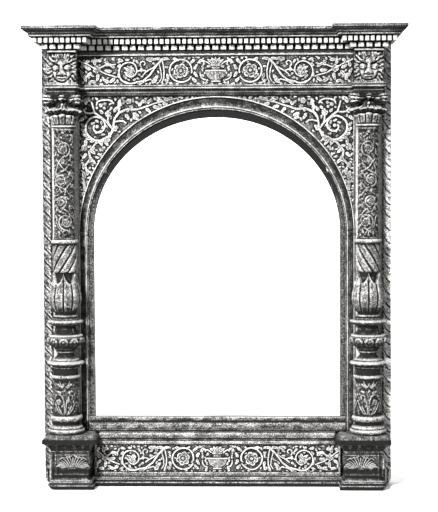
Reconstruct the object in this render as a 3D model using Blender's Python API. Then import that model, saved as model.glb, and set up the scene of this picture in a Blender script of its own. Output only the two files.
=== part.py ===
"""Carved wooden tabernacle frame with candelabrum columns, as separate solid pieces.

The frame stands in the XZ plane. X runs to the right, Z up, and the front faces -Y.
Depths are measured forward from the flat back, so y = HALF_DEPTH - depth.
"""
import math

import bmesh
import bpy
import numpy as np
from mathutils import Vector
from mathutils.geometry import delaunay_2d_cdt

# Heights in metres, from the underside up
BASE_H = 0.0143
FOOT_H = 0.0114
PLINTH_H = 0.0440
CAP_H = 0.0123
COLUMN_H = 0.4550
CAPITAL_H = 0.0487
ARCHITRAVE_H = 0.0163
FRIEZE_H = 0.0500
BED_H = 0.0033
LOWER_TEETH_H = 0.0060
UPPER_TEETH_H = 0.0088
CORONA_H = 0.0032
CYMA_H = 0.0070
TOP_FILLET_H = 0.0050

# Widths in metres
BODY_HALF = 0.2610
STRIP_W = 0.0129
MASK_W = 0.0435
PLINTH_W = 0.0601
JAMB_W = 0.0133
SIGHT_LIP = 0.0082
ARCHIVOLT_OUTER_RISE = 0.2025
ARCHIVOLT_CROWN_W = 0.0200
CROWN_LIP = 0.0115
SILL_W = 0.0210
REBATE_LIP = 0.0080
CORNER_R = 0.0129
CAP_OUT = 0.0105
COLUMN_INSET = 0.0223
COLUMN_R = 0.0289
ABACUS_HALF = 0.0290

# Depths in metres
BOARD_T = 0.0220
REBATE_T = 0.0120
STRIP_T = 0.0037
STRIP_RELIEF = 0.0019
JAMB_EDGE_T = 0.0037
JAMB_INNER_T = 0.0057
SPANDREL_T = 0.0018
SPANDREL_RELIEF = 0.0034
PANEL_T = 0.0077
PANEL_RELIEF = 0.0040
PANEL_FILLET_W = 0.0050
RELIEF_EDGE = 0.0005
RUN_F = 0.0300
MASK_F = 0.0560
MASK_RELIEF = 0.0110
PLINTH_F = 0.0700
PLINTH_RELIEF = 0.0030
FOOT_INSET = 0.0040
PLINTH_FILLET_OUT = 0.0015
COLUMN_F = 0.0480
PREDELLA_CORNICE_OUT = 0.0080
BASE_RUN_F = 0.0370
BASE_OUT = 0.0050
SILL_EDGE_OUT = 0.0040
NOSING = 0.0030

# How far each member of the entablature stands out from the mask blocks and the frieze
ARCHITRAVE_OUT = 0.0040
LOWER_TEETH_OUT = 0.0060
LOWER_TOOTH_L = 0.0045
UPPER_TEETH_OUT = 0.0175
UPPER_TOOTH_L = 0.0055
CORONA_OUT = 0.0225
CYMA_OUT = 0.0310
CORNICE_OUT = 0.0330

# Repeats
LOWER_PITCH = 0.0122
LOWER_TOOTH_W = 0.0080
UPPER_PITCH = 0.0084
UPPER_TOOTH_W = 0.0053
LEAF_PITCH = 0.0190
CORNER_STEPS = 4
CYMA_STEPS = 4
ARCH_STEPS = 24
TURNING_STEPS = 16
STILE_JOINT = 0.0875

# Shares of a plinth's height: its carved die, where its hollow starts, and the top of the predella
DIE_SHARE = 0.60
HOLLOW_SHARE = 0.68
HOLLOW_LEVELS = (0.76, 0.84, 0.92, 1.0)
PREDELLA_SHARE = 0.815

# Shares of a member's height: the lower band of the architrave, the tread of the base moulding, the
# front step of the sill, the nose of the predella's cornice, and the flat edge of a plinth's cap
BAND_SHARE = 0.49
TREAD_SHARE = 0.62
SILL_STEP_SHARE = 0.65
NOSE_SHARE = 0.45
CAP_EDGE_SHARE = 0.60

# Small steps between the members of a moulding, and the band at the head of each jamb
STEP_H = 0.0010
IMPOST_H = 0.0030
IMPOST_OUT = 0.0006

# Clearance between pieces that touch
GAP = 0.0003

# Levels worked out from the heights
Z_FOOT = BASE_H
Z_PLINTH = Z_FOOT + FOOT_H
Z_CAP = Z_PLINTH + PLINTH_H
Z_COLUMN = Z_CAP + CAP_H
Z_CAPITAL = Z_COLUMN + COLUMN_H
Z_ARCHITRAVE = Z_CAPITAL + CAPITAL_H
Z_FRIEZE = Z_ARCHITRAVE + ARCHITRAVE_H
Z_BED = Z_FRIEZE + FRIEZE_H
Z_LOWER_TEETH = Z_BED + BED_H
Z_UPPER_TEETH = Z_LOWER_TEETH + LOWER_TEETH_H
Z_CORONA = Z_UPPER_TEETH + UPPER_TEETH_H
Z_CYMA = Z_CORONA + CORONA_H
Z_TOP_FILLET = Z_CYMA + CYMA_H
Z_TOP = Z_TOP_FILLET + TOP_FILLET_H
Z_SPRING = Z_ARCHITRAVE - ARCHIVOLT_OUTER_RISE - 2 * GAP
Z_SIGHT = Z_COLUMN + SILL_W
Z_JOINT = Z_SPRING + STILE_JOINT
Z_PREDELLA_TOP = Z_PLINTH + PLINTH_H * PREDELLA_SHARE

# Widths and depths worked out from the sizes
FACE = BOARD_T + GAP
STRIP_IN = BODY_HALF - STRIP_W
BLOCK_OUT = STRIP_IN - GAP
MASK_IN = BLOCK_OUT - MASK_W
PLINTH_IN = BLOCK_OUT - PLINTH_W
STEP_F = FACE + STRIP_T + STRIP_RELIEF + GAP
MASK_FRONT = MASK_F + MASK_RELIEF
HALF_DEPTH = (MASK_FRONT + CORNICE_OUT) / 2
COLUMN_X = BLOCK_OUT - COLUMN_INSET
COLUMN_REACH = math.sqrt(COLUMN_R ** 2 - (COLUMN_F - FACE - JAMB_EDGE_T) ** 2)
JAMB_OUT = COLUMN_X - COLUMN_REACH - GAP
JAMB_IN = JAMB_OUT - JAMB_W
SIGHT_HALF = JAMB_IN - SIGHT_LIP
ARCHIVOLT_INNER_RISE = ARCHIVOLT_OUTER_RISE - ARCHIVOLT_CROWN_W
ARCH_RISE = ARCHIVOLT_INNER_RISE - CROWN_LIP

WOOD_PALE = (0.33, 0.31, 0.28)
WOOD_MID = (0.20, 0.185, 0.17)
WOOD_DARK = (0.10, 0.093, 0.085)

# Turned members of a column from the foot up: kind, share of the height, then the radius at the
# foot, middle and head of the member as shares of the widest radius
COLUMN_MEMBER_SHARES = (
    ("round", 0.0275, 0.86, 0.96, 0.86),
    ("neck", 0.0120, 0.64, 0.64, 0.64),
    ("round", 0.0210, 0.74, 0.81, 0.72),
    ("leaves", 0.1200, 0.63, 0.66, 0.60),
    ("neck", 0.0130, 0.74, 0.74, 0.74),
    ("neck", 0.0213, 0.56, 0.59, 0.62),
    ("round", 0.0459, 0.66, 0.96, 0.50),
    ("neck", 0.0163, 0.52, 0.52, 0.52),
    ("gadroons", 0.0495, 0.55, 0.97, 0.93),
    ("neck", 0.0295, 0.48, 0.50, 0.53),
    ("round", 0.0385, 0.70, 0.96, 0.70),
    ("bulb", 0.1110, 0.56, 0.84, 0.66),
    ("tips", 0.0250, 0.67, 0.70, 0.75),
    ("spiral", 0.0930, 0.60, 0.62, 0.60),
    ("neck", 0.0143, 0.74, 0.74, 0.74),
    ("neck", 0.3622, 0.52, 0.51, 0.50),
)


# Rings that each kind of member needs, and how deep its carving is as a share of its radius
RING_STEPS = {"round": 3, "neck": 2, "leaves": 2, "gadroons": 3, "bulb": 4, "tips": 2, "spiral": 4}
CARVING_SHARES = {"leaves": 0.05, "gadroons": 0.05, "bulb": 0.04, "tips": 0.08, "spiral": 0.09}


def clear_scene():
    for item in list(bpy.data.objects):
        bpy.data.objects.remove(item)


def wood(name, colour, roughness=0.55):
    """A plain wood material in one colour."""
    material = bpy.data.materials.new(name)
    material.use_nodes = True
    shader = material.node_tree.nodes["Principled BSDF"]
    shader.inputs["Base Color"].default_value = (*colour, 1.0)
    shader.inputs["Roughness"].default_value = roughness
    shader.inputs["Metallic"].default_value = 0.0
    return material


def at(x, depth, z):
    """A point from its place across, its depth in front of the back and its height."""
    return (x, HALF_DEPTH - depth, z)


def piece(name, points, faces, colour):
    """One closed solid from its points and faces."""
    work = bmesh.new()
    corners = [work.verts.new(point) for point in points]
    for face in faces:
        work.faces.new([corners[i] for i in face])
    return finish(name, work, colour)


def finish(name, work, colour):
    """Welds the work mesh, turns its faces outward and puts it in the scene."""
    bmesh.ops.remove_doubles(work, verts=work.verts, dist=1e-6)
    bmesh.ops.recalc_face_normals(work, faces=work.faces)
    mesh = bpy.data.meshes.new(name)
    work.to_mesh(mesh)
    work.free()
    result = bpy.data.objects.new(name, mesh)
    bpy.context.scene.collection.objects.link(result)
    mesh.materials.append(wood(name + "_wood", colour))
    return result


def loft(name, rings, colour):
    """A solid through rings of equally many points, closed by the first and last ring."""
    count = len(rings[0])
    points = [point for ring in rings for point in ring]
    faces = [list(range(count)), list(range(len(points) - count, len(points)))]
    for k in range(len(rings) - 1):
        for i in range(count):
            j = (i + 1) % count
            low, high = k * count, (k + 1) * count
            faces.append([low + i, low + j, high + j, high + i])
    return piece(name, points, faces, colour)


def board(name, outline, back, front, colour):
    """A flat board with its outline in X and Z, between two depths."""
    return loft(name, [[at(x, depth, z) for x, z in outline] for depth in (back, front)], colour)


def stack(name, plan, levels, colour):
    """A solid whose plan, a list of (x, depth), follows the offset at each level (z, offset)."""
    return loft(name, [[at(x, depth, z) for x, depth in plan(offset)] for z, offset in levels], colour)


def arc(cx, cz, rx, rz, start, end, steps):
    """Points of an ellipse's arc, with its angles in degrees."""
    turn = np.radians(np.linspace(start, end, steps + 1))
    return [(cx + rx * math.cos(a), cz + rz * math.sin(a)) for a in turn]


def arch_arc(half, rise, first, last):
    """Points of the arch's right-hand quarter between two of its steps, 0 at the spring."""
    step = 180.0 / ARCH_STEPS
    return arc(0.0, Z_SPRING, half, rise, first * step, last * step, last - first)


def lower_corner():
    """The rounded lower corner of the frame on its right-hand side, up to its full width."""
    return arc(BODY_HALF - CORNER_R, CORNER_R, CORNER_R, CORNER_R, -90, 0, CORNER_STEPS)


def mirrored(outline, side):
    return [(side * x, z) for x, z in outline]


def side_name(side):
    return "right" if side > 0 else "left"


# Back boards

def build_boards():
    cutter = board("rebate_cutter", rebate_outline(), -REBATE_T, REBATE_T, WOOD_DARK)
    cutter.hide_render = True
    cutter.display_type = "WIRE"
    joint_step = next(i for i in range(ARCH_STEPS // 2) if arch_height(i + 1) > Z_JOINT)
    joint_x = SIGHT_HALF * math.sqrt(1 - ((Z_JOINT - Z_SPRING) / ARCH_RISE) ** 2)
    quarter = arch_arc(SIGHT_HALF, ARCH_RISE, 0, joint_step) + [(joint_x, Z_JOINT)]
    for side in (1, -1):
        outline = lower_corner()
        outline += [(BODY_HALF, Z_UPPER_TEETH - GAP), (JAMB_OUT, Z_UPPER_TEETH - GAP)]
        outline += [(JAMB_OUT, Z_JOINT)] + quarter[::-1] + [(SIGHT_HALF, 0.0)]
        stile = board("stile_" + side_name(side), mirrored(outline, side), 0.0, BOARD_T, WOOD_DARK)
        cut(stile, cutter)
    crown = arch_arc(SIGHT_HALF, ARCH_RISE, joint_step + 1, ARCH_STEPS // 2)[:-1]
    crown = [(joint_x, Z_JOINT + GAP)] + crown
    half = [(JAMB_OUT - GAP, Z_UPPER_TEETH - GAP), (JAMB_OUT - GAP, Z_JOINT + GAP)] + crown
    outline = half + [(0.0, Z_SPRING + ARCH_RISE)] + mirrored(half, -1)[::-1]
    cut(board("rail_top", outline, 0.0, BOARD_T, WOOD_DARK), cutter)
    reach = SIGHT_HALF - GAP
    outline = [(-reach, 0.0), (reach, 0.0), (reach, Z_SIGHT), (-reach, Z_SIGHT)]
    cut(board("rail_bottom", outline, 0.0, BOARD_T, WOOD_DARK), cutter)


def arch_height(step):
    return Z_SPRING + ARCH_RISE * math.sin(math.radians(180.0 / ARCH_STEPS * step))


def rebate_outline():
    """The square recess for the picture at the back."""
    reach = SIGHT_HALF + REBATE_LIP
    low, high = Z_SIGHT - REBATE_LIP, Z_SPRING + ARCH_RISE + REBATE_LIP
    return [(-reach, low), (reach, low), (reach, high), (-reach, high)]


def cut(target, cutter):
    modifier = target.modifiers.new("cut", "BOOLEAN")
    modifier.operation = "DIFFERENCE"
    modifier.solver = "EXACT"
    modifier.object = cutter


# Plan outlines that break forward at both sides

def breaking_plan(block_in, block_front, run_front, rear):
    """The plan of a member that runs between two blocks, as a function of its offset."""
    def plan(offset):
        outer = BLOCK_OUT + offset
        half = [(outer, block_front + offset), (block_in - offset, block_front + offset)]
        half += [(block_in - offset, run_front + offset)]
        if rear > 0:
            narrow = BLOCK_OUT - GAP
            half = [(narrow, rear), (narrow, STEP_F), (outer, STEP_F)] + half
        else:
            half = [(outer, rear)] + half
        return half + [(-x, depth) for x, depth in half[::-1]]
    return plan


def block_plan(side):
    """The plan of a plinth: a narrow root behind, then the block with its offset."""
    def plan(offset):
        root_in, root_out = PLINTH_IN + FOOT_INSET + GAP, BLOCK_OUT - FOOT_INSET - GAP
        low, high = PLINTH_IN - offset, BLOCK_OUT + offset
        front = PLINTH_F + offset
        half = [(root_in, FACE), (root_in, STEP_F), (low, STEP_F), (low, front)]
        half += [(high, front), (high, STEP_F), (root_out, STEP_F), (root_out, FACE)]
        return mirrored(half, side)
    return plan


def toothed(path, length, pitch, width):
    """A plan path with teeth, from its corner points; corners that turn outward carry one."""
    result = []
    last = len(path) - 1
    for k in range(last):
        a, b = Vector(path[k]), Vector(path[k + 1])
        along = (b - a).normalized()
        out = Vector((-along.y, along.x))
        before = is_outward(path, k)
        after = is_outward(path, k + 1)
        start = a + along * (width / 4 if before else pitch / 2)
        end = b - along * (width / 4 if after else pitch / 2)
        if before:
            result += [start + out * length, start]
        else:
            result.append(a)
        room = (end - start).length
        count = max(1, int(room / pitch))
        for i in range(count):
            middle = start + along * (room * (i + 0.5) / count)
            near, far = middle - along * width / 2, middle + along * width / 2
            result += [near, near + out * length, far + out * length, far]
        if after:
            turn = (Vector(path[k + 2]) - b).normalized()
            corner_out = Vector((-turn.y, turn.x))
            result += [end, end + out * length, b + (out + corner_out) * length]
    result.append(Vector(path[last]))
    return [(point.x, point.y) for point in result]


def is_outward(path, k):
    """Whether the moulding has an outer corner at the path's corner k."""
    if k == 0 or k == len(path) - 1:
        return False
    before = Vector(path[k]) - Vector(path[k - 1])
    after = Vector(path[k + 1]) - Vector(path[k])
    return before.cross(after) < 0


def toothed_plan(rear, offset, length, pitch, width):
    """The breaking plan with a row of dentils along its front and returns."""
    plan = breaking_plan(MASK_IN, MASK_FRONT, RUN_F, rear)(offset)[::-1]
    roots = 2 if rear > 0 else 0
    last = len(plan) - roots
    return toothed(plan[roots:last], length, pitch, width) + plan[last:] + plan[:roots]


def build_entablature():
    plan = breaking_plan(MASK_IN, MASK_FRONT, RUN_F, FACE)
    low, high = Z_ARCHITRAVE + GAP, Z_FRIEZE - GAP
    band = Z_ARCHITRAVE + ARCHITRAVE_H * BAND_SHARE
    levels = [(low, 0.0), (band - STEP_H, 0.0), (band, ARCHITRAVE_OUT / 3)]
    levels += [(high - NOSING - STEP_H, ARCHITRAVE_OUT / 2), (high - NOSING, ARCHITRAVE_OUT)]
    stack("architrave", plan, levels + [(high, ARCHITRAVE_OUT)], WOOD_PALE)
    lower = toothed_plan(FACE, LOWER_TEETH_OUT - LOWER_TOOTH_L, LOWER_TOOTH_L, LOWER_PITCH, LOWER_TOOTH_W)
    rings = [[at(x, d, z) for x, d in lower] for z in (Z_BED + GAP, Z_UPPER_TEETH - GAP)]
    loft("dentil_lower", rings, WOOD_PALE)
    upper = toothed_plan(0.0, UPPER_TEETH_OUT - UPPER_TOOTH_L, UPPER_TOOTH_L, UPPER_PITCH, UPPER_TOOTH_W)
    rings = [[at(x, d, z) for x, d in upper] for z in (Z_UPPER_TEETH, Z_CORONA - GAP)]
    loft("dentil_upper", rings, WOOD_PALE)
    plan = breaking_plan(MASK_IN, MASK_FRONT, RUN_F, 0.0)
    levels = [(Z_CORONA, CORONA_OUT), (Z_CYMA, CORONA_OUT)]
    for i in range(1, CYMA_STEPS + 1):
        share = (1 - math.cos(math.pi * i / CYMA_STEPS)) / 2
        levels.append((Z_CYMA + CYMA_H * i / CYMA_STEPS, CORONA_OUT + (CYMA_OUT - CORONA_OUT) * share))
    levels += [(Z_TOP_FILLET, CORNICE_OUT), (Z_TOP, CORNICE_OUT)]
    stack("cornice", plan, levels, WOOD_MID)


# Base and plinths

def build_base():
    plan = breaking_plan(PLINTH_IN, PLINTH_F - BASE_OUT, BASE_RUN_F, FACE)
    top, tread = BASE_H - GAP, BASE_H * TREAD_SHARE
    levels = [(z, BASE_OUT) for _, z in lower_corner() if z < tread - STEP_H]
    levels += [(tread, BASE_OUT), (tread + STEP_H, BASE_OUT / 2)]
    levels += [(top - 2 * STEP_H, BASE_OUT / 2), (top, BASE_OUT / 10)]
    rings = []
    for z, offset in levels:
        limit = base_limit(z)
        rings.append([at(min(limit, max(-limit, x)), depth, z) for x, depth in plan(offset)])
    loft("base_moulding", rings, WOOD_MID)
    fillet = STEP_H / PLINTH_H
    shares = (DIE_SHARE, DIE_SHARE + fillet, HOLLOW_SHARE - fillet, HOLLOW_SHARE) + HOLLOW_LEVELS
    levels = [(Z_FOOT, -FOOT_INSET), (Z_PLINTH - STEP_H, -FOOT_INSET), (Z_PLINTH, 0.0)]
    levels += [(Z_PLINTH + PLINTH_H * share, plinth_out(share)) for share in shares]
    levels += [(Z_CAP, CAP_OUT), (Z_CAP + CAP_H * CAP_EDGE_SHARE, CAP_OUT), (Z_COLUMN - GAP, CAP_OUT / 3)]
    for side in (1, -1):
        build_plinth(side, levels)


def base_limit(z):
    """Half the width of the base moulding at a height, with its lower corners rounded."""
    drop = max(0.0, CORNER_R - z)
    return BLOCK_OUT + BASE_OUT - CORNER_R + math.sqrt(CORNER_R ** 2 - drop ** 2)


def plinth_out(share):
    """How far a plinth stands out at a share of its height: flat die, fillet, then a hollow."""
    if share <= DIE_SHARE:
        return 0.0
    if share < HOLLOW_SHARE:
        return PLINTH_FILLET_OUT
    turn = math.radians(90) * (share - HOLLOW_SHARE) / (1 - HOLLOW_SHARE)
    return PLINTH_FILLET_OUT / 3 + CAP_OUT * 0.8 * (1 - math.cos(turn))


def build_plinth(side, levels):
    """A plinth with upright acanthus leaves on its face."""
    plinth = stack("plinth_" + side_name(side), block_plan(side), levels, WOOD_MID)
    low, high = Z_PLINTH, Z_PLINTH + PLINTH_H * DIE_SHARE
    relief = Relief()
    for share in (0.18, 0.5, 0.82):
        x = side * (PLINTH_IN + PLINTH_W * share)
        relief.leaf(x, low + 0.1 * (high - low), 90, (high - low) * 0.8, PLINTH_W * 0.12, PLINTH_RELIEF)
    outline = mirrored([(PLINTH_IN, low), (BLOCK_OUT, low), (BLOCK_OUT, high), (PLINTH_IN, high)], side)
    carve_face(plinth, outline, PLINTH_F, relief)


def carve_face(target, outline, depth, relief):
    """Replaces one flat face of a solid, with the given corners, by carved relief."""
    work = bmesh.new()
    work.from_mesh(target.data)
    corners = []
    for x, z in outline:
        goal = Vector(at(x, depth, z))
        corners.append(min(work.verts, key=lambda vert: (vert.co - goal).length))
    face = next(face for face in work.faces if set(face.verts) == set(corners))
    work.faces.remove(face)
    points, triangles, border = relief_net(outline, relief)
    placed = {}
    for k, i in enumerate(border):
        placed[i] = corners[k]
    for i, (x, z) in enumerate(points):
        if i not in placed:
            placed[i] = work.verts.new(at(x, depth + relief.height(x, z), z))
    for triangle in triangles:
        work.faces.new([placed[i] for i in triangle])
    bmesh.ops.recalc_face_normals(work, faces=work.faces)
    work.to_mesh(target.data)
    work.free()


# Mouldings around the opening

def moulding_profile():
    """The section of jamb and archivolt: share across from the inside, depth."""
    low = FACE + JAMB_EDGE_T * 0.4
    return [
        (0.0, FACE), (0.0, FACE + JAMB_INNER_T), (0.26, FACE + JAMB_INNER_T), (0.45, low),
        (1.0, FACE + JAMB_EDGE_T), (1.0, FACE),
    ]


def build_mouldings():
    profile = moulding_profile()
    width = JAMB_OUT - JAMB_IN
    for side in (1, -1):
        rings = []
        low, high = Z_SPRING - IMPOST_H, Z_SPRING - GAP
        for z, is_impost in ((Z_COLUMN, False), (low - GAP, False), (low, True), (high, True)):
            ring = []
            for share, depth in profile:
                front = FACE + JAMB_INNER_T + IMPOST_OUT if is_impost and depth > FACE else depth
                ring.append(at(side * (JAMB_IN + width * share), front, z))
            rings.append(ring)
        loft("jamb_" + side_name(side), rings, WOOD_PALE)
    rings = []
    for i in range(ARCH_STEPS + 1):
        turn = math.pi * i / ARCH_STEPS
        ring = []
        for share, depth in profile:
            half = JAMB_IN + width * share
            rise = ARCHIVOLT_INNER_RISE + (ARCHIVOLT_OUTER_RISE - ARCHIVOLT_INNER_RISE) * share
            ring.append(at(half * math.cos(turn), depth, Z_SPRING + rise * math.sin(turn)))
        rings.append(ring)
    loft("archivolt", rings, WOOD_PALE)
    build_sill()


def build_sill():
    def run(half):
        return lambda depth: [(-half, FACE), (-half, depth), (half, depth), (half, FACE)]

    edge = FACE + JAMB_INNER_T
    step = Z_COLUMN + SILL_W * SILL_STEP_SHARE
    levels = [(Z_COLUMN, edge + SILL_EDGE_OUT), (step - STEP_H, edge + SILL_EDGE_OUT), (step, edge)]
    levels += [(Z_SIGHT - 2 * STEP_H, edge - STEP_H), (Z_SIGHT, edge - NOSING)]
    stack("sill_moulding", run(JAMB_IN - GAP), levels, WOOD_PALE)
    low = Z_PREDELLA_TOP + GAP
    half = PLINTH_IN - CAP_OUT - GAP
    out = FACE + PANEL_T + PREDELLA_CORNICE_OUT
    nose = low + (Z_COLUMN - low) * NOSE_SHARE
    levels = [(low, out - NOSING - STEP_H), (nose - 2 * STEP_H, out - NOSING), (nose, out)]
    levels += [(Z_COLUMN - NOSING, out), (Z_COLUMN - GAP, out - NOSING)]
    stack("predella_cornice", run(half), levels, WOOD_MID)


# Relief carving

class Relief:
    """The raised stems, leaves and rosettes of one carved panel."""

    def __init__(self):
        self.shapes = []
        self.points = []
        self.edges = []

    def trace(self, line, closed=False):
        first = len(self.points)
        self.points += [tuple(point) for point in line]
        last = len(self.points) - 1
        self.edges += [(i, i + 1) for i in range(first, last)]
        if closed:
            self.edges.append((last, first))

    def stem(self, path, half_width, height):
        """A rounded stem along a path."""
        path = np.asarray(path, float)
        along = np.gradient(path, axis=0)
        along /= np.linalg.norm(along, axis=1)[:, None]
        across = np.stack([-along[:, 1], along[:, 0]], axis=1) * half_width
        for line in (path, path + across, path - across):
            self.trace(line)

        def raised(x, z):
            near = line_distance(path, x, z)
            return height * max(0.0, 1 - (near / half_width) ** 2)
        self.shapes.append(raised)

    def leaf(self, x0, z0, angle, length, half_width, height):
        """A pointed leaf with a mid rib, from its root."""
        turn = math.radians(angle)
        along = np.array([math.cos(turn), math.sin(turn)])
        across = np.array([-along[1], along[0]])
        root = np.array([x0, z0])
        sides = ((0.0, 0.25), (0.45, 1.0), (1.0, 0.0), (0.45, -1.0), (0.0, -0.25))
        self.trace([root + along * length * s + across * half_width * t for s, t in sides], True)
        self.trace([root + along * length * s for s in (0.2, 0.75)])

        def raised(x, z):
            place = np.array([x, z]) - root
            s = place @ along / length
            t = abs(place @ across) / half_width
            if s <= 0 or s >= 1:
                return 0.0
            edge = 0.25 + s / 0.45 * 0.75 if s < 0.45 else (1 - s) / 0.55
            return height * max(0.0, 1 - t / edge) * (0.6 + 0.4 * s)
        self.shapes.append(raised)

    def rosette(self, cx, cz, radius, height, petals):
        """A round flower with raised petals and a boss."""
        for share, count in ((1.0, 2 * petals), (0.45, petals)):
            turn = 2 * np.pi * np.arange(count) / count
            reach = radius * share * (1 - 0.14 * (np.arange(count) % 2) * (share > 0.9))
            self.trace(np.stack([cx + reach * np.cos(turn), cz + reach * np.sin(turn)], axis=1), True)

        def raised(x, z):
            far = math.hypot(x - cx, z - cz) / radius
            if far > 0.84:
                return 0.0
            lobe = 0.72 + 0.28 * math.cos(petals * math.atan2(z - cz, x - cx))
            return height * (lobe if far > 0.2 else 0.5)
        self.shapes.append(raised)
        self.trace([(cx, cz), (cx + radius * 0.05, cz)])

    def height(self, x, z):
        return max((shape(x, z) for shape in self.shapes), default=0.0)


def line_distance(path, x, z):
    """How far a point is from a path."""
    start, end = path[:-1], path[1:]
    run = end - start
    place = np.array([x, z]) - start
    share = np.clip((place * run).sum(1) / np.maximum((run ** 2).sum(1), 1e-12), 0, 1)
    return float(np.min(np.linalg.norm(place - run * share[:, None], axis=1)))


def is_inside(outline, x, z):
    """Whether a point lies inside the outline, clear of its edge."""
    closed = np.asarray(list(outline) + [outline[0]], float)
    if line_distance(closed, x, z) < RELIEF_EDGE:
        return False
    (xa, za), (xb, zb) = closed[:-1].T, closed[1:].T
    spans = (za > z) != (zb > z)
    crossing = xa + (z - za) * (xb - xa) / np.where(zb == za, 1.0, zb - za)
    return bool(np.count_nonzero(spans & (crossing > x)) % 2)


def relief_net(outline, relief):
    """A flat net of triangles inside the outline, with corners on every line of the relief."""
    count = len(outline)
    kept = [i for i, point in enumerate(relief.points) if is_inside(outline, *point)]
    place = {i: count + k for k, i in enumerate(kept)}
    points = [Vector(point) for point in outline] + [Vector(relief.points[i]) for i in kept]
    edges = [(place[a], place[b]) for a, b in relief.edges if a in place and b in place]
    flat = delaunay_2d_cdt(points, edges, [list(range(count))], 1, 1e-6)
    border = [next(i for i, source in enumerate(flat[3]) if k in source) for k in range(count)]
    return [(point.x, point.y) for point in flat[0]], flat[2], border


def relief_slab(name, outline, ground, relief, colour):
    """A slab with the given outline whose front carries the relief."""
    count = len(outline)
    xz, triangles, border = relief_net(outline, relief)
    rim = set(border)
    front = []
    for i, (x, z) in enumerate(xz):
        height = 0.0 if i in rim else relief.height(x, z)
        front.append(at(x, ground + height, z))
    back = [at(x, FACE, z) for x, z in outline]
    base = len(front)
    faces = [list(face) for face in triangles]
    faces.append([base + k for k in range(count)])
    for k in range(count):
        j = (k + 1) % count
        faces.append([border[k], border[j], base + j, base + k])
    return piece(name, front + back, faces, colour)


def scroll(cx, cz, outer, inner, start, end, steps):
    """Points of a spiral that runs from its outer to its inner radius."""
    turn = np.radians(np.linspace(start, end, steps + 1))
    reach = np.linspace(outer, inner, steps + 1)
    return np.stack([cx + reach * np.cos(turn), cz + reach * np.sin(turn)], axis=1)


def rinceau(relief, middle, high, height, half):
    """Scrolls, rosettes and leaves on both sides of an urn, inside a band."""
    unit = high
    near, far = half * 0.255, half * 0.62
    for side in (1, -1):
        inner = scroll(near, middle, 0.42 * unit, 0.42 * unit, -215, 38, 8)
        outer = scroll(far, middle, 0.42 * unit, 0.13 * unit, 218, -190, 10)
        path = np.concatenate([inner, outer])
        relief.stem(path * (side, 1), 0.045 * unit, height)
        relief.rosette(side * near, middle, 0.27 * unit, height, 5)
        ends = ((far + 0.42 * unit, 0.05, 40, 0.5), (far + 0.45 * unit, -0.1, -10, 0.62))
        ends += ((far + 0.40 * unit, -0.20, -25, 0.5), ((near + far) / 2, 0.12, 68, 0.38))
        ends += (((near + far) / 2, -0.12, -112, 0.38), (near - 0.46 * unit, -0.2, -120, 0.3))
        for x, share, angle, length in ends:
            turn = angle if side > 0 else 180 - angle
            relief.leaf(side * x, middle + share * unit, turn, length * unit, 0.1 * unit, height)
    for angle in (25, 58, 90, 122, 155):
        relief.leaf(0.0, middle + 0.02 * unit, angle, 0.42 * unit, 0.075 * unit, height)
    relief.rosette(0.0, middle - 0.22 * unit, 0.2 * unit, height, 6)


def build_panels():
    relief = Relief()
    half = MASK_IN - GAP
    low, high = Z_FRIEZE, Z_BED - PANEL_FILLET_W
    rinceau(relief, (low + high) / 2, high - low, PANEL_RELIEF, half)
    outline = [(-half, low), (half, low), (half, high), (-half, high)]
    relief_slab("frieze_panel", outline, FACE + PANEL_T, relief, WOOD_MID)
    relief = Relief()
    half = PLINTH_IN - plinth_out(PREDELLA_SHARE) - GAP
    low, high = Z_FOOT + PANEL_FILLET_W / 2, Z_PREDELLA_TOP
    rinceau(relief, (low + high) / 2, high - low, PANEL_RELIEF, half * 1.09)
    outline = [(-half, Z_FOOT), (half, Z_FOOT), (half, high), (-half, high)]
    relief_slab("predella_panel", outline, FACE + PANEL_T, relief, WOOD_MID)


def build_spandrels():
    top = Z_ARCHITRAVE - GAP
    first, last = 1, ARCH_STEPS // 2 - 1
    inner = arch_arc(JAMB_OUT + GAP, ARCHIVOLT_OUTER_RISE + GAP, first, last)
    for side in (1, -1):
        relief = Relief()
        unit = JAMB_OUT * 0.1
        cx, cz = JAMB_OUT * 0.855, top - 0.22 * ARCHIVOLT_OUTER_RISE
        spiral = scroll(cx, cz, 1.05 * unit, 0.3 * unit, -20, -400, 11)
        relief.stem(spiral * (side, 1), 0.13 * unit, SPANDREL_RELIEF)
        fork = np.array([(cx - 1.05 * unit, cz - 0.3 * unit), (cx - 1.6 * unit, cz + 0.9 * unit)])
        tip = np.array([(cx - 3.0 * unit, cz + 1.35 * unit), (cx - 4.6 * unit, cz + 1.75 * unit)])
        relief.stem(np.concatenate([fork, tip]) * (side, 1), 0.11 * unit, SPANDREL_RELIEF)
        leaves = ((0.35, 1.05, 62, 0.8), (-0.5, 1.1, 110, 0.75), (0.5, -1.35, -76, 1.0))
        leaves += ((0.75, -2.6, -82, 1.1), (0.88, -4.0, -86, 1.1), (-2.2, 1.25, 68, 0.6))
        leaves += ((-3.6, 1.55, 60, 0.35), (-0.45, -0.15, 100, 0.5))
        for x, z, angle, length in leaves:
            turn = angle if side > 0 else 180 - angle
            place = (side * (cx + x * unit), cz + z * unit)
            relief.leaf(*place, turn, length * unit, 0.22 * unit, SPANDREL_RELIEF)
        outline = [(JAMB_OUT, inner[0][1]), (JAMB_OUT, top), (inner[-1][0], top)] + inner[::-1]
        name = "spandrel_" + side_name(side)
        relief_slab(name, mirrored(outline, side), FACE + SPANDREL_T, relief, WOOD_MID)


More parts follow.
